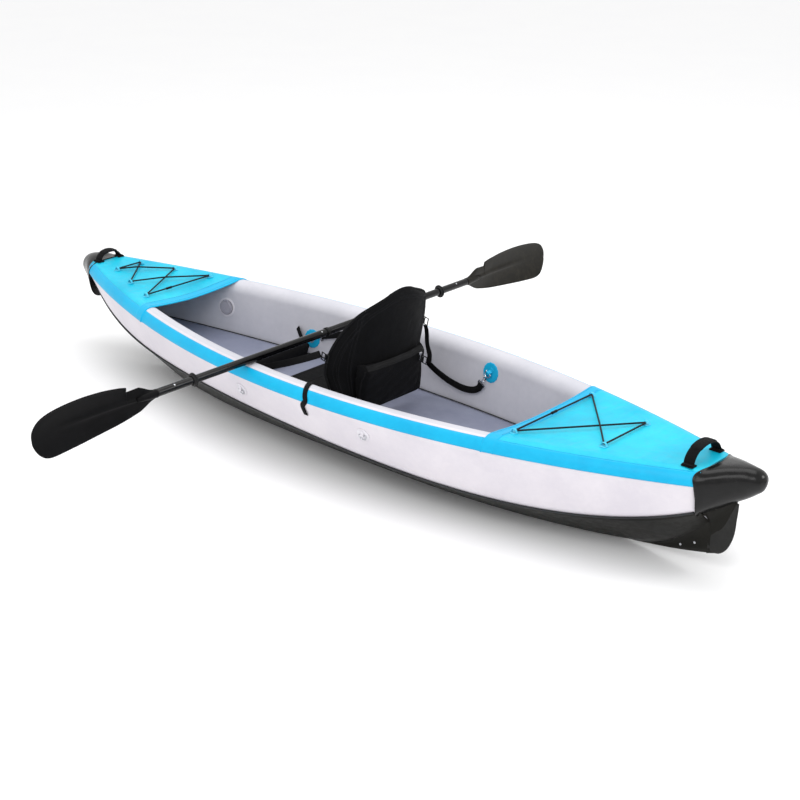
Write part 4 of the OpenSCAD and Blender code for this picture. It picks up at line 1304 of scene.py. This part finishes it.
def seam_curves():
    """The backrest's stitched lines in its own frame: along the rim, down both sides and across."""
    rim = outline(0.030)
    curves = [rim]
    for side in (1, -1):
        curves.append([(side * (0.150 + 0.020 * math.sin(math.pi * s)), 0.035 + 0.395 * s)
                       for s in np.linspace(0, 1, 50)])
    curves.append([(y, 0.245 + 0.02 * (1 - (y / 0.15) ** 2)) for y in np.linspace(0.158, -0.158, 40)])
    return curves


def build_backrest():
    pad = slab("backrest_cushion", SEAT, PAD_HALF, -PAD_HALF, shrink=0.001)
    mids = [[tuple(back_surface(y, z, 0.0)) for y, z in c] for c in seam_curves()]
    faces = [[tuple(back_surface(y, z, d)) for y, z in c] for c in seam_curves()
             for d in (-PAD_HALF, PAD_HALF)]

    def pins(co):
        weight = np.zeros(len(co))
        for curve in faces + mids:
            weight = np.maximum(weight, near_curve(co, resample(curve, 120), 0.009))
        rim = [tuple(back_surface(y, z, 0.0)) for y, z in outline(0.004)]
        return np.maximum(weight, near_curve(co, resample(rim, 160), 0.012))

    inflate(pad, pins, voxel=0.006, cap=0.0065)
    tree = finish_pad(pad, "backrest", "backrest_pad")
    forward = back_axis((1, 0, 0))
    for k, curve in enumerate(seam_curves()):
        for depth, tag in ((1, "front"), (-1, "rear")):
            if depth < 0 and k == 3:
                continue
            line, normals = dropped(tree, [back_surface(y, z, 0.04 * depth) for y, z in resample(curve, 140)],
                                    -depth * forward, 0.0002)
            sweep(f"backrest_seam_{k}_{tag}", line, strap_profile(0.0042, 0.0011), SEAT_EDGE, body="backrest",
                  across=np.cross(tangents(line), normals), slot="seat_fabric")
            for off in (-0.0055, 0.0055):
                side_step = np.cross(tangents(line), normals)
                row, ups = dropped(tree, line + side_step * off + normals * 0.02, -depth * forward, 0.0003)
                stitches(f"backrest_stitch_{k}_{tag}_{'a' if off < 0 else 'b'}", row, ups, THREAD,
                         body="backrest",
                         spacing=0.0075, size=0.0048, slot="seat_fabric")
    build_piping()


def surface_tree(obj):
    return BVHTree.FromPolygons([v.co for v in obj.data.vertices],
                                [tuple(p.vertices) for p in obj.data.polygons])


def finish_pad(obj, body, node):
    """Gives a puffed pad its UVs and body, hides its CAD node, and returns its surface for sewing on."""
    box_uv(obj)
    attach(obj, body)
    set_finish(obj, "seat_fabric")
    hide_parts(node)
    return surface_tree(obj)


def dropped(tree, points, direction, lift):
    """Points carried along a direction onto a surface, with the surface's normals."""
    out, normals = [], []
    for p in points:
        hit, normal, _, _ = tree.ray_cast(Vector(p), Vector(direction), 0.2)
        if hit is None:
            hit, normal, _, _ = tree.find_nearest(Vector(p))
        if normal.dot(Vector(direction)) > 0:
            normal = -normal
        out.append(V3(hit) + V3(normal) * lift)
        normals.append(V3(normal))
    out, normals = V3(out), V3(normals)
    kernel = V3([0.25, 0.5, 0.25])
    for _ in range(3):
        for array in (out, normals):
            for c in range(3):
                array[1:-1, c] = np.convolve(array[:, c], kernel, "valid")
    return out, normals / np.linalg.norm(normals, axis=1)[:, None]


def build_piping():
    """The bound rim, in one run from the port foot over the top to the starboard foot."""
    rim = [back_point((wing(y, z / BACK_H), y, z)) for y, z in outline(-0.0012)]
    piping = sweep("backrest_piping", spline(rim, 240), circle(0.0042, 12), SEAT_EDGE, body="backrest",
                   slot="seat_fabric")
    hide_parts("backrest_binding")


def build_pocket():
    """The zipped pocket on the back's rear face: a bellows bag with a zip across it."""
    half, low, high, deep = 0.160, 0.062, 0.452, 0.0195
    rows_front, rows_rear = [], []
    for s in np.linspace(0, 1, 40):
        v = low + (high - low) * s
        front, rear = [], []
        bottom = (high - low) * BACK_H * s
        corner = 0.050 if bottom < 0.050 else 0.0
        wide = half - corner + math.sqrt(max(0, corner ** 2 - (corner - bottom) ** 2)) if corner else half
        for k in np.linspace(1, -1, 48):
            y = wide * k
            edge = min(wide * (1 - abs(k)), (high - low) * BACK_H * min(s, 1 - s))
            full = math.sqrt(min(1, edge / 0.022 + 0.02))
            base = wing(y, v) - 0.0215
            belly = 1 - 0.30 * k * k * (1 - smooth_step(0.6, 0.85, s))
            out = base - (base + 0.022 + deep - 0.004 * (1 - s)) * full * belly
            sagging = 0.0012 * math.sin(23 * s + 11 * k) * full
            front.append(tuple(back_point((base, y, v * BACK_H))))
            rear.append(tuple(back_point((out + sagging, y, v * BACK_H))))
        rows_front.append(front)
        rows_rear.append(rear)
    pocket = sheet("backrest_pocket_bag", rows_rear, rows_front, SEAT, body=None)

    def pins(co):
        flat = [tuple(back_point((-0.030, y, z))) for y, z in
                [(0.158, 0.035), (0.158, 0.215), (-0.158, 0.215), (-0.158, 0.035), (0.158, 0.035)]]
        zip_line = [tuple(back_point((-0.0415, y, ZIP_Z))) for y in np.linspace(0.15, -0.15, 50)]
        weight = near_curve(co, resample(flat, 200), 0.014)
        return np.maximum(weight, near_curve(co, resample(zip_line, 80), 0.008))

    inflate(pocket, pins, voxel=0.005, cap=0.0035, pressure=3.0)
    tree = finish_pad(pocket, "backrest", "backrest_pocket")
    forward = back_axis((1, 0, 0))

    def lay(name, points, profile, lift, material):
        start = [back_point((-0.09, y, z)) for y, z in points]
        line, normals = dropped(tree, start, forward, lift)
        sweep(name, line, profile, material, body="backrest", across=np.cross(tangents(line), normals),
              slot="seat_fabric")
        return line, normals

    rim = [(0.150, 0.040), (0.152, 0.12), (0.150, 0.200)]
    for side, tag in SIDES:
        edge = [(side * y, z) for y, z in flat_spline(rim, 40)]
        lay(f"pocket_binding_{tag}", edge, strap_profile(0.006, 0.0014), 0.0006, SEAT_EDGE)
    zip_line = [(y, ZIP_Z) for y in np.linspace(0.142, -0.142, 70)]
    lay("pocket_zip_tape", zip_line, strap_profile(0.022, 0.0007), 0.0001, ZIP)
    line, normals = lay("pocket_zip_coil", zip_line, strap_profile(0.0052, 0.0017), 0.0007, BLACK_PLASTIC)
    for off in (-0.0085, 0.0085):
        row = line + np.cross(tangents(line), normals) * off
        stitches(f"pocket_zip_stitches_{'low' if off > 0 else 'high'}", row, normals, THREAD,
                 body="backrest", slot="seat_fabric")


BUCKLE_V = (0.2, 0.5)
BUCKLE_GAP = 0.0155
BUCKLE_REACH = 0.026


def build_straps():
    """Adjusting straps from the seat's buckles to the hooks on the walls."""
    for side, tag in SIDES:
        for kind, index, v, ahead in (("rear", 0, BUCKLE_V[0], -BUCKLE_REACH),
                                      ("front", 1, BUCKLE_V[1], BUCKLE_REACH)):
            x, z, turn = INNER_RINGS[index]
            frame_matrix = wall_frame(x, z, 1, True) @ Matrix.Rotation(math.radians(turn), 4, "Z")
            eye = 0.0217 + 0.016 + 0.008 + 0.005

            def at(d):
                return V3(frame_matrix @ Vector((0, -eye - 0.011 - d, RING_UP)))

            across = unit(V3(frame_matrix @ Vector((1, 0, 0))) - V3(frame_matrix @ Vector((0, 0, 0))))
            end = back_point((wing(back_half(v), v) + ahead, back_half(v) + BUCKLE_GAP, v * BACK_H))
            start = at(0.004)
            if kind == "rear":
                path = bezier(start, at(0.064), end + V3([-0.070, 0.004, -0.050]), end, 60)
                last = V3([0, 0, 1])
            else:
                dip = V3([0, 0, 0.017])
                path = bezier(start, start * 0.67 + end * 0.33 - dip, start * 0.33 + end * 0.67 - dip, end,
                              60)
                last = V3([0, 0, -1])
            widths = [across * (1 - s) + last * s for s in np.linspace(0, 1, len(path))]
            mirror = V3([1, side, 1])
            strap = sweep(f"{kind}_strap_{tag}", path * mirror, strap_profile(0.025, 0.0022), WEBBING,
                          body=None,
                          across=V3(widths) * mirror, slot="webbing")
            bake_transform(strap)
            if side > 0:
                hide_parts(f"{kind}_straps")
            build_eye_loop(f"{kind}_strap_loop_{tag}", frame_matrix, side, eye)


def build_strap_tail():
    """The port strap's free end, from the lower buckle over the gunwale and down its outside."""
    v = BUCKLE_V[0]
    start = back_point((wing(back_half(v), v), back_half(v) + BUCKLE_GAP + 0.004, v * BACK_H + 0.012))
    x, r = -0.098, thick(-0.098) / 2
    over = [(x + 0.0004 * a, gun_y(x) - r + (r + 0.0022) * math.cos(math.radians(a)),
             arc_z(x) + (r + 0.0022) * math.sin(math.radians(a))) for a in (125, 105, 90, 70, 50, 30, 12)]
    hang_rows = ((0.272, 0.0024), (0.250, 0.0046), (0.232, 0.0032))
    hang = [(x + 0.022, outer_y(x, z) + out, z) for z, out in hang_rows]
    path = spline(V3([start, start + V3([-0.004, 0.022, 0.028])] + over + hang), 90)
    tan = tangents(path)
    strap = sweep("port_strap_tail", path, strap_profile(0.020, 0.0018), WEBBING, body=None,
                  across=np.cross(tan, np.cross(V3([1, 0, 0]), tan)), slot="webbing")
    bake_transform(strap)


def build_slack_loop():
    """Spare webbing that hangs from the upper starboard buckle and loops back to the lower one."""
    points = []
    for s in np.linspace(0, 1, 9):
        v = BUCKLE_V[1] - 0.03 - (BUCKLE_V[1] - BUCKLE_V[0] - 0.03) * s
        out = back_half(v) + BUCKLE_GAP - 0.004 + 0.016 * math.sin(math.pi * s) ** 0.8
        low = 0.030 * math.sin(math.pi * min(1, 1.25 * s)) * s
        points.append(back_point((wing(back_half(v), v) - 0.012 - 0.022 * s, -out, v * BACK_H - low)))
    path = spline(V3(points), 70)
    tan = tangents(path)
    sweep("starboard_slack_loop", path, strap_profile(0.020, 0.0018), WEBBING, body="backrest",
          across=np.cross(tan, np.cross(V3([1, 0, 0]), tan)), slot="webbing")


def build_eye_loop(name, matrix, side, eye):
    """Where the strap passes round the hook's eye and is sewn back on itself."""
    line = [(-eye - 0.030, 0.0020), (-eye - 0.020, 0.0022), (-eye - 0.0150, 0.0030), (-eye - 0.0090, 0.0030),
            (-eye - 0.0060, 0.0), (-eye - 0.0090, -0.0030), (-eye - 0.0150, -0.0030), (-eye - 0.020, -0.0022),
            (-eye - 0.030, -0.0020)]
    path = [V3(matrix @ Vector((0, y, RING_UP + z))) for y, z in flat_spline(line, 50)]
    across = V3(matrix @ Vector((1, 0, 0))) - V3(matrix @ Vector((0, 0, 0)))
    mirror = V3([1, side, 1])
    sweep(name, V3(path) * mirror, strap_profile(0.0245, 0.0018), WEBBING, across=across * mirror,
          slot="webbing")


def build_buckles():
    """Ladder-lock buckles on short tabs sewn to the back's rim."""
    frame_nodes = []
    for side in (1, -1):
        for k, v in enumerate(BUCKLE_V):
            centre = (wing(back_half(v), v), back_half(v) + BUCKLE_GAP + 0.0022, v * BACK_H)
            bars = []
            for x, w in ((-0.016, 0.0045), (0.0, 0.0036), (0.016, 0.0045)):
                rings = [[(centre[0] + x + w * 0.5 * math.cos(a), centre[1] + 0.0016 * math.sin(a),
                           centre[2] + z)
                          for a in turns_of(10)]
                         for z in np.linspace(-0.0135, 0.0135, 4)]
                bars.append(rings)
            for z in (-0.0138, 0.0138):
                rings = [[(centre[0] + x, centre[1] + 0.0017 * math.cos(a), centre[2] + z
                           + 0.0017 * math.sin(a))
                          for a in turns_of(10)]
                         for x in (-0.0180, -0.0176, -0.0165, 0.0165, 0.0176, 0.0180)]
                bars.append(rings)
            parts = []
            for n, rings in enumerate(bars):
                moved = [[tuple(V3(back_point(p)) * V3([1, side, 1])) for p in ring] for ring in rings]
                parts.append(loft(f"buckle_{side}_{k}_{n}", moved, BLACK_PLASTIC, body="backrest",
                                  slot="webbing"))
            y0 = back_half(v) - 0.004
            tab = [back_point((centre[0], y, centre[2])) * V3([1, side, 1])
                   for y in np.linspace(y0, centre[1] - 0.001, 8)]
            parts.append(sweep(f"buckle_tab_{side}_{k}", tab, strap_profile(0.022, 0.0020), WEBBING,
                               body="backrest",
                               across=back_axis((0, 0, 1)), slot="webbing"))
            frame_nodes.append(join(f"buckle_{side}_{k}", parts))
    buckles = join("seat_buckle_set", frame_nodes)
    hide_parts("seat_buckles")


def build_cushion():
    """The seat cushion on the cockpit floor: one padded panel with quilted channels."""
    x0, length, half, corner = 0.005, 0.370, 0.205, 0.055
    cx, base = x0 + length / 2, floor_top(x0) + 0.0045
    rings = []
    for z, grow in ((0.0035, -0.012), (0.006, -0.004), (0.012, -0.001), (0.020, -0.001), (0.026, -0.004),
                    (0.0285, -0.012)):
        rings.append(rounded_rectangle(cx, 0, base + z, length / 2 + grow, half + grow, corner, n=12))
    pad = loft("seat_cushion_pad", rings, SEAT, body=None)
    channels = [[(x, y, 0) for y in np.linspace(-half + 0.03, half - 0.03, 60)]
                for x in (x0 + 0.10, x0 + 0.185, x0 + 0.27)]
    frame_line = [(x, y, 0) for x, y, _ in rounded_rectangle(cx, 0, 0, length / 2 - 0.028, half - 0.028,
                                                             0.035, n=10)]
    channels.append(frame_line + frame_line[:1])

    def pins(co):
        weight = np.zeros(len(co))
        flat = co * V3([1, 1, 0])
        for line in channels:
            weight = np.maximum(weight, near_curve(flat, resample(line, 160), 0.009))
        return np.maximum(weight, (co[:, 2] < base + 0.006) * 1.0)

    inflate(pad, pins, voxel=0.006, cap=0.008)
    tree = finish_pad(pad, "hull", "seat_cushion")
    for k, line in enumerate(channels):
        top, normals = dropped(tree, V3(resample(line, 150)) + V3([0, 0, base + 0.06]), (0, 0, -1), 0.0003)
        sweep(f"cushion_seam_{k}", top, strap_profile(0.003, 0.0010), SEAT_EDGE,
              across=np.cross(tangents(top), normals), slot="seat_fabric")
        stitches(f"cushion_stitches_{k}", top + normals * 0.0008, normals, THREAD, spacing=0.0075,
                 size=0.0048, slot="seat_fabric")
    rim = rounded_rectangle(cx, 0, base + 0.0165, length / 2 - 0.0002, half - 0.0002, corner, n=12)
    sweep("cushion_piping", rim, circle(0.0030, 10), SEAT_EDGE, closed=True, slot="seat_fabric")


# ------------------------------------------------------------------ foot rest
def build_footrest():
    """A padded roll with gathered ends and a stitched flap along its length."""
    x0, z0, half, r0 = 0.528, 0.165, 0.203, 0.0312
    rings = []
    n = 56
    for y in np.concatenate([[-half, -half + 0.0006], np.linspace(-half + 0.003, half - 0.003, 90),
                             [half - 0.0006, half]]):
        edge = half - abs(y)
        r = r0 * math.sqrt(min(1, max(0.06, edge / 0.012))) if edge < 0.012 else r0
        ring = []
        for a in turns_of(n):
            gather = 0.0009 * math.sin(14 * a) * math.exp(-edge / 0.02)
            dent = -0.0011 * abs(math.sin(math.pi * y / 0.082)) ** 0.5 + 0.0006 * ripple(4 * math.cos(a),
                    9 * y, 4 * math.sin(a))
            ring.append((x0 + (r + gather + dent - 0.0006) * math.cos(a), y, z0
                         + (r + gather + dent - 0.0006) * math.sin(a)))
        rings.append(ring)
    roll = loft("footrest_roll_cover", rings, SEAT, body="footrest", slot="seat_fabric")
    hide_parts("footrest_roll")
    for k, a in enumerate((math.radians(38), math.radians(218))):
        run = [(x0 + 0.0318 * math.cos(a), y, z0 + 0.0318 * math.sin(a))
               for y in np.linspace(-half + 0.012, half - 0.012, 60)]
        out = V3([math.cos(a), 0, math.sin(a)])
        sweep(f"footrest_seam_{k}", run, strap_profile(0.007, 0.0012), SEAT_EDGE, body="footrest",
              across=np.cross(out, [0, 1, 0]), slot="seat_fabric")
        stitches(f"footrest_stitches_{k}", V3(run) + out * 0.0007, out, THREAD, body="footrest",
                 slot="seat_fabric")


def build_footrest_webbing():
    core = [(0.528, y, 0.165) for y in np.linspace(-0.213, 0.213, 30)]
    centre = sweep("footrest_core", core, strap_profile(0.0100, 0.0034), WEBBING, across=(1, 0, 0),
                   slot="webbing")
    for side, tag in SIDES:
        pts = [(0.520, side * 0.214, 0.161), (0.553, side * 0.216, 0.177), (0.598, side * 0.232, 0.220)]
        ups = V3([(0, 0, 1), (-0.25, 0, 1), (-0.5, 0, 1)])
        path = spline(pts, 40)
        across = np.stack([np.interp(np.linspace(0, 1, 40), (0, 0.5, 1), ups[:, k]) for k in range(3)], 1)
        sweep(f"footrest_tail_{tag}", path, strap_profile(0.025, 0.0022), WEBBING, across=across,
              slot="webbing")
    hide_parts("footrest_webbing")


# ------------------------------------------------------------------ paddle
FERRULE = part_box("paddle_ferrule")
PADDLE_X = FERRULE[0].x * 0.5 + FERRULE[1].x * 0.5
PADDLE_MID = -0.024
PADDLE_Z = FERRULE[0].z * 0.5 + FERRULE[1].z * 0.5
SHAFT_R = 0.014
THROAT = 0.790
BLADE_LEN = 2.580 / 2 - THROAT - 0.001
BLADE_ROWS = V3([[0, 13, 13], [.05, 19, 23], [.09, 29, 35], [.135, 39, 46], [.2, 48, 54], [.24, 53.5, 58],
                 [.31, 62, 63.5], [.44, 71, 71], [.6, 75, 79], [.75, 72, 85], [.86, 64.5, 87], [.92, 55, 80],
                 [.96, 42, 65], [.985, 26, 46], [.996, 14, 32], [1, 2, 19]]) / [1, 1000, 1000]
NOTCH = (0.135, 0.2385, 0.0372)


def blade_middle(s):
    return 0.022 * (1 - (2 * s - 1) ** 2) * 0.6


def blade_shape(s, k, face, up, low):
    """One point of a spooned blade: s along it, k from -1 to 1 across, face 1 or -1."""
    z = k * (up if k > 0 else low)
    spine = 0.012 + (0.0022 - 0.012) * min(1, s / 0.34) ** 0.7
    half = spine * (1 - 0.75 * k * k)
    ridge = 0.0055 * math.exp(-(k / 0.10) ** 2) * smooth_step(0, 0.12, s) * (1 - smooth_step(0.45, 0.9, s))
    rim = 0.0007 * math.exp(-((1 - abs(k)) / 0.06) ** 2) * smooth_step(0.1, 0.25, s)
    half = max(0.0009, half) + rim + (ridge if face < 0 else 0.3 * ridge)
    half *= min(1, (1 - abs(k)) / 0.03 + 0.25) ** 0.5
    base = blade_middle(s) - 0.014 * min(1, (z / 0.080) ** 2) * min(1, s * 3)
    return base + face * half, z


def build_blade(name, node, side, material):
    # Drawn against the root of the distance from the tip, which keeps the tip round.
    root = BLADE_ROWS.copy()
    root[:, 0] = np.sqrt(1 - root[:, 0])
    shape = spline(root[::-1], 400)
    shape[:, 0] = np.maximum.accumulate(shape[:, 0])
    rings = []
    tip = 0.94 + 0.06 * np.sin(np.linspace(0.1, 1, 16) * math.pi / 2)
    for s in sorted(np.concatenate([np.linspace(0, 0.94, 70), tip, [NOTCH[1] - 0.0006, NOTCH[1] + 0.0006]])):
        up, low = (float(np.interp(math.sqrt(max(0, 1 - s)), shape[:, 0], shape[:, c])) for c in (1, 2))
        if NOTCH[0] < s < NOTCH[1]:
            up = min(up, 0.0392 + (NOTCH[2] - 0.0392) * smooth_step(NOTCH[0], NOTCH[1], s))
        ks = np.sin(np.linspace(-1, 1, 33) * math.pi / 2)
        front = [blade_shape(s, k, 1, up, low) for k in ks]
        back = [blade_shape(s, k, -1, up, low) for k in ks[::-1]]
        rings.append([(x, s * BLADE_LEN, z) for x, z in front + back])
    blade = loft(name, rings, material, body="paddle", slot="paddle_plastic")
    place(blade, Matrix.Translation((PADDLE_X, PADDLE_MID + side * (THROAT + 0.0006), PADDLE_Z))
          @ Matrix.Diagonal((1, side, 1, 1)))
    fix_normals(blade.data)
    profile = [(0.0120, 0.0004), (0.0150, 0.0008), (0.0152, 0.004), (0.0147, 0.014), (0.0136, 0.034),
               (0.0112, 0.062),
               (0.0080, 0.084)]
    collar_rings = [[(PADDLE_X + r * math.cos(a), PADDLE_MID + side * (THROAT + y), PADDLE_Z
                      + r * math.sin(a))
                     for a in turns_of(40)] for r, y in profile]
    collar = loft(name + "_throat", collar_rings, material, body="paddle", slot="paddle_plastic")
    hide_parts(node)
    return [blade, collar]


def lathe(name, rows, material, body, slot=None):
    """A turned piece round the paddle's axis from (radius, place along it)."""
    rings = [[(PADDLE_X + r * math.cos(a), PADDLE_MID + y, PADDLE_Z + r * math.sin(a))
              for a in turns_of(48)] for r, y in rows]
    piece = loft(name, rings, material, body, slot, closed_path=True, cap=False)
    fix_normals(piece.data)
    return piece


def build_paddle():
    build_blade("paddle_blade_port_moulding", "paddle_blade_port", 1, BLADE)
    # The starboard blade gets the paler copy: painted light.
    build_blade("paddle_blade_starboard_moulding", "paddle_blade_starboard", -1, BLADE_LIT_COPY)
    for side, tag in SIDES:
        grip = [(SHAFT_R - 0.0009, side * 0.0006), (SHAFT_R - 0.0001, side * 0.0012), (SHAFT_R, side * 0.002),
                (SHAFT_R, side * (THROAT - 0.002)), (SHAFT_R - 0.0002, side * THROAT),
                (SHAFT_R - 0.0015, side * THROAT),
                (SHAFT_R - 0.0015, side * 0.0006)]
        shaft = lathe(f"paddle_shaft_{tag}_tube", grip, SHAFT, "paddle", "shaft")
        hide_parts(f"paddle_shaft_{tag}")
        y = side * 0.630
        rows = [(0.01406, -0.009), (0.0172, -0.009), (0.0180, -0.0084), (0.0180, -0.0034), (0.0200, -0.0020),
                (0.0240, -0.0016), (0.0250, -0.0006), (0.0250, 0.0006), (0.0240, 0.0012), (0.0205, 0.0018),
                (0.0180, 0.0034), (0.0180, 0.0084), (0.0172, 0.009), (0.01406, 0.009)]
        ring = lathe(f"drip_ring_{tag}_moulding", [(r, y + d) for r, d in rows], RUBBER, f"drip_ring_{tag}",
                     "ring_rubber")
        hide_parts(f"drip_ring_{tag}")
    lathe("paddle_joint_collar", [(SHAFT_R + 0.0001, -0.014), (0.0163, -0.0135), (0.0168, -0.011),
                                  (0.0168, -0.002),
                                         (0.0163, -0.0005), (SHAFT_R + 0.0001, -0.0003)], RUBBER, "paddle",
                                         "shaft")


# ------------------------------------------------------------------ CAD nodes that stay in view
def dress_frame():
    """Materials and softened edges for the hard CAD parts."""
    steel = ["fairing_screws", "inner_rings", "snap_hooks", "valve_springs", "zip_slider", "centre_button",
             "port_blade_button", "starboard_blade_button", "button_springs"]
    steel += [f"outer_ring_{tag}_{end}" for _, tag in SIDES for end in ("fore", "aft")]
    steel += [f"gate_{tag}_{end}" for _, tag in SIDES for end in ("rear", "front")]
    caps = ["port_valve_cap", "starboard_valve_cap", "floor_valve_cap"]
    valves = ["valve_bodies", "port_valve_stem", "starboard_valve_stem", "floor_valve_stem"] + caps
    looks = {name: STEEL for name in steel} | {name: VALVE for name in valves} | {"paddle_ferrule": ALLOY}
    rounded = {"snap_hooks": 0.0006, "valve_bodies": 0.0007, "zip_slider": 0.0005, "fairing_screws": 0.0005}
    rounded |= {name: 0.0006 for name in caps}
    for name, look in looks.items():
        obj = frame["nodes"][name]
        obj.data.materials.clear()
        obj.data.materials.append(look)
        if name in rounded:
            bevel = obj.modifiers.new("edge", "BEVEL")
            bevel.width = rounded[name]
            bevel.segments = 2
            bevel.limit_method = "ANGLE"
            bevel.angle_limit = math.radians(40)
            bevel.harden_normals = False


# ------------------------------------------------------------------ stage, light, camera
def build_stage():
    floor_mesh = bpy.data.meshes.new("studio_floor")
    wide, lowest = 30.0, -0.008
    floor_mesh.from_pydata([(-wide, -wide, lowest), (wide, -wide, lowest), (wide, wide, lowest),
                            (-wide, wide, lowest)],
                           [], [(0, 1, 2, 3)])
    floor = bpy.data.objects.new("studio_floor", floor_mesh)
    bpy.context.scene.collection.objects.link(floor)
    look = Look("studio_paper")
    grain = look.noise(2.0, 3.0)
    look.colour(look.mix(grain, (255, 255, 255), (252, 252, 253)))
    look.rough(0.8, 0.9, grain)
    floor_mesh.materials.append(look.material)

    world = bpy.data.worlds.new("studio")
    world.use_nodes = True
    background = world.node_tree.nodes["Background"]
    background.inputs[0].default_value = (1, 1, 1, 1)
    background.inputs[1].default_value = 0.95
    bpy.context.scene.world = world
    bpy.context.scene.view_settings.view_transform = "Standard"

    def softbox(name, place_at, target, size, watts):
        data = bpy.data.lights.new(name, "AREA")
        data.shape = "RECTANGLE"
        data.size, data.size_y = size
        data.energy = watts
        lamp = bpy.data.objects.new(name, data)
        bpy.context.scene.collection.objects.link(lamp)
        lamp.location = place_at
        lamp.rotation_euler = (Vector(target) - Vector(place_at)).to_track_quat("-Z", "Y").to_euler()

    softbox("key", (-2.2, 3.2, 3.6), (0, 0, 0.2), (3.0, 2.0), 52)
    softbox("overhead", (0.4, -0.6, 4.2), (0, 0, 0.2), (4.0, 2.5), 60)
    softbox("stern_rim", (-4.2, -2.4, 2.6), (-0.8, 0, 0.25), (1.6, 1.2), 40)


CAMERA_LENS = 72.264
CAMERA_PLACE = (-3.72406, 3.83736, 2.37606)


def build_camera():
    data = bpy.data.cameras.new("photo_camera")
    data.sensor_width = 36.0
    data.lens = CAMERA_LENS
    camera = bpy.data.objects.new("photo_camera", data)
    bpy.context.scene.collection.objects.link(camera)
    look = Vector((0.62794847, -0.67666287, -0.38445817)).normalized()
    up = Vector((0.25884395, -0.28428725, 0.92313627))
    right = look.cross(up).normalized()
    up = right.cross(look)
    turn = Matrix((right, up, -look)).transposed().to_4x4()
    camera.matrix_world = Matrix.Translation(CAMERA_PLACE) @ turn
    bpy.context.scene.camera = camera


# ------------------------------------------------------------------ build
build_chambers()
build_band()
build_bottom()
build_decks()
build_cap("stern_cap_moulding", "stern_cap", STERN_END - 0.0008, STERN_ROWS, True)
build_cap("bow_cap_moulding", "bow_cap", BOW_END + 0.0008, BOW_ROWS, False)
build_fairing()
build_lacing()
build_handles()
build_fittings()
build_backrest()
build_pocket()
build_buckles()
build_straps()
build_strap_tail()
build_slack_loop()
build_cushion()
build_footrest()
build_footrest_webbing()
build_paddle()
dress_frame()
build_stage()
build_camera()
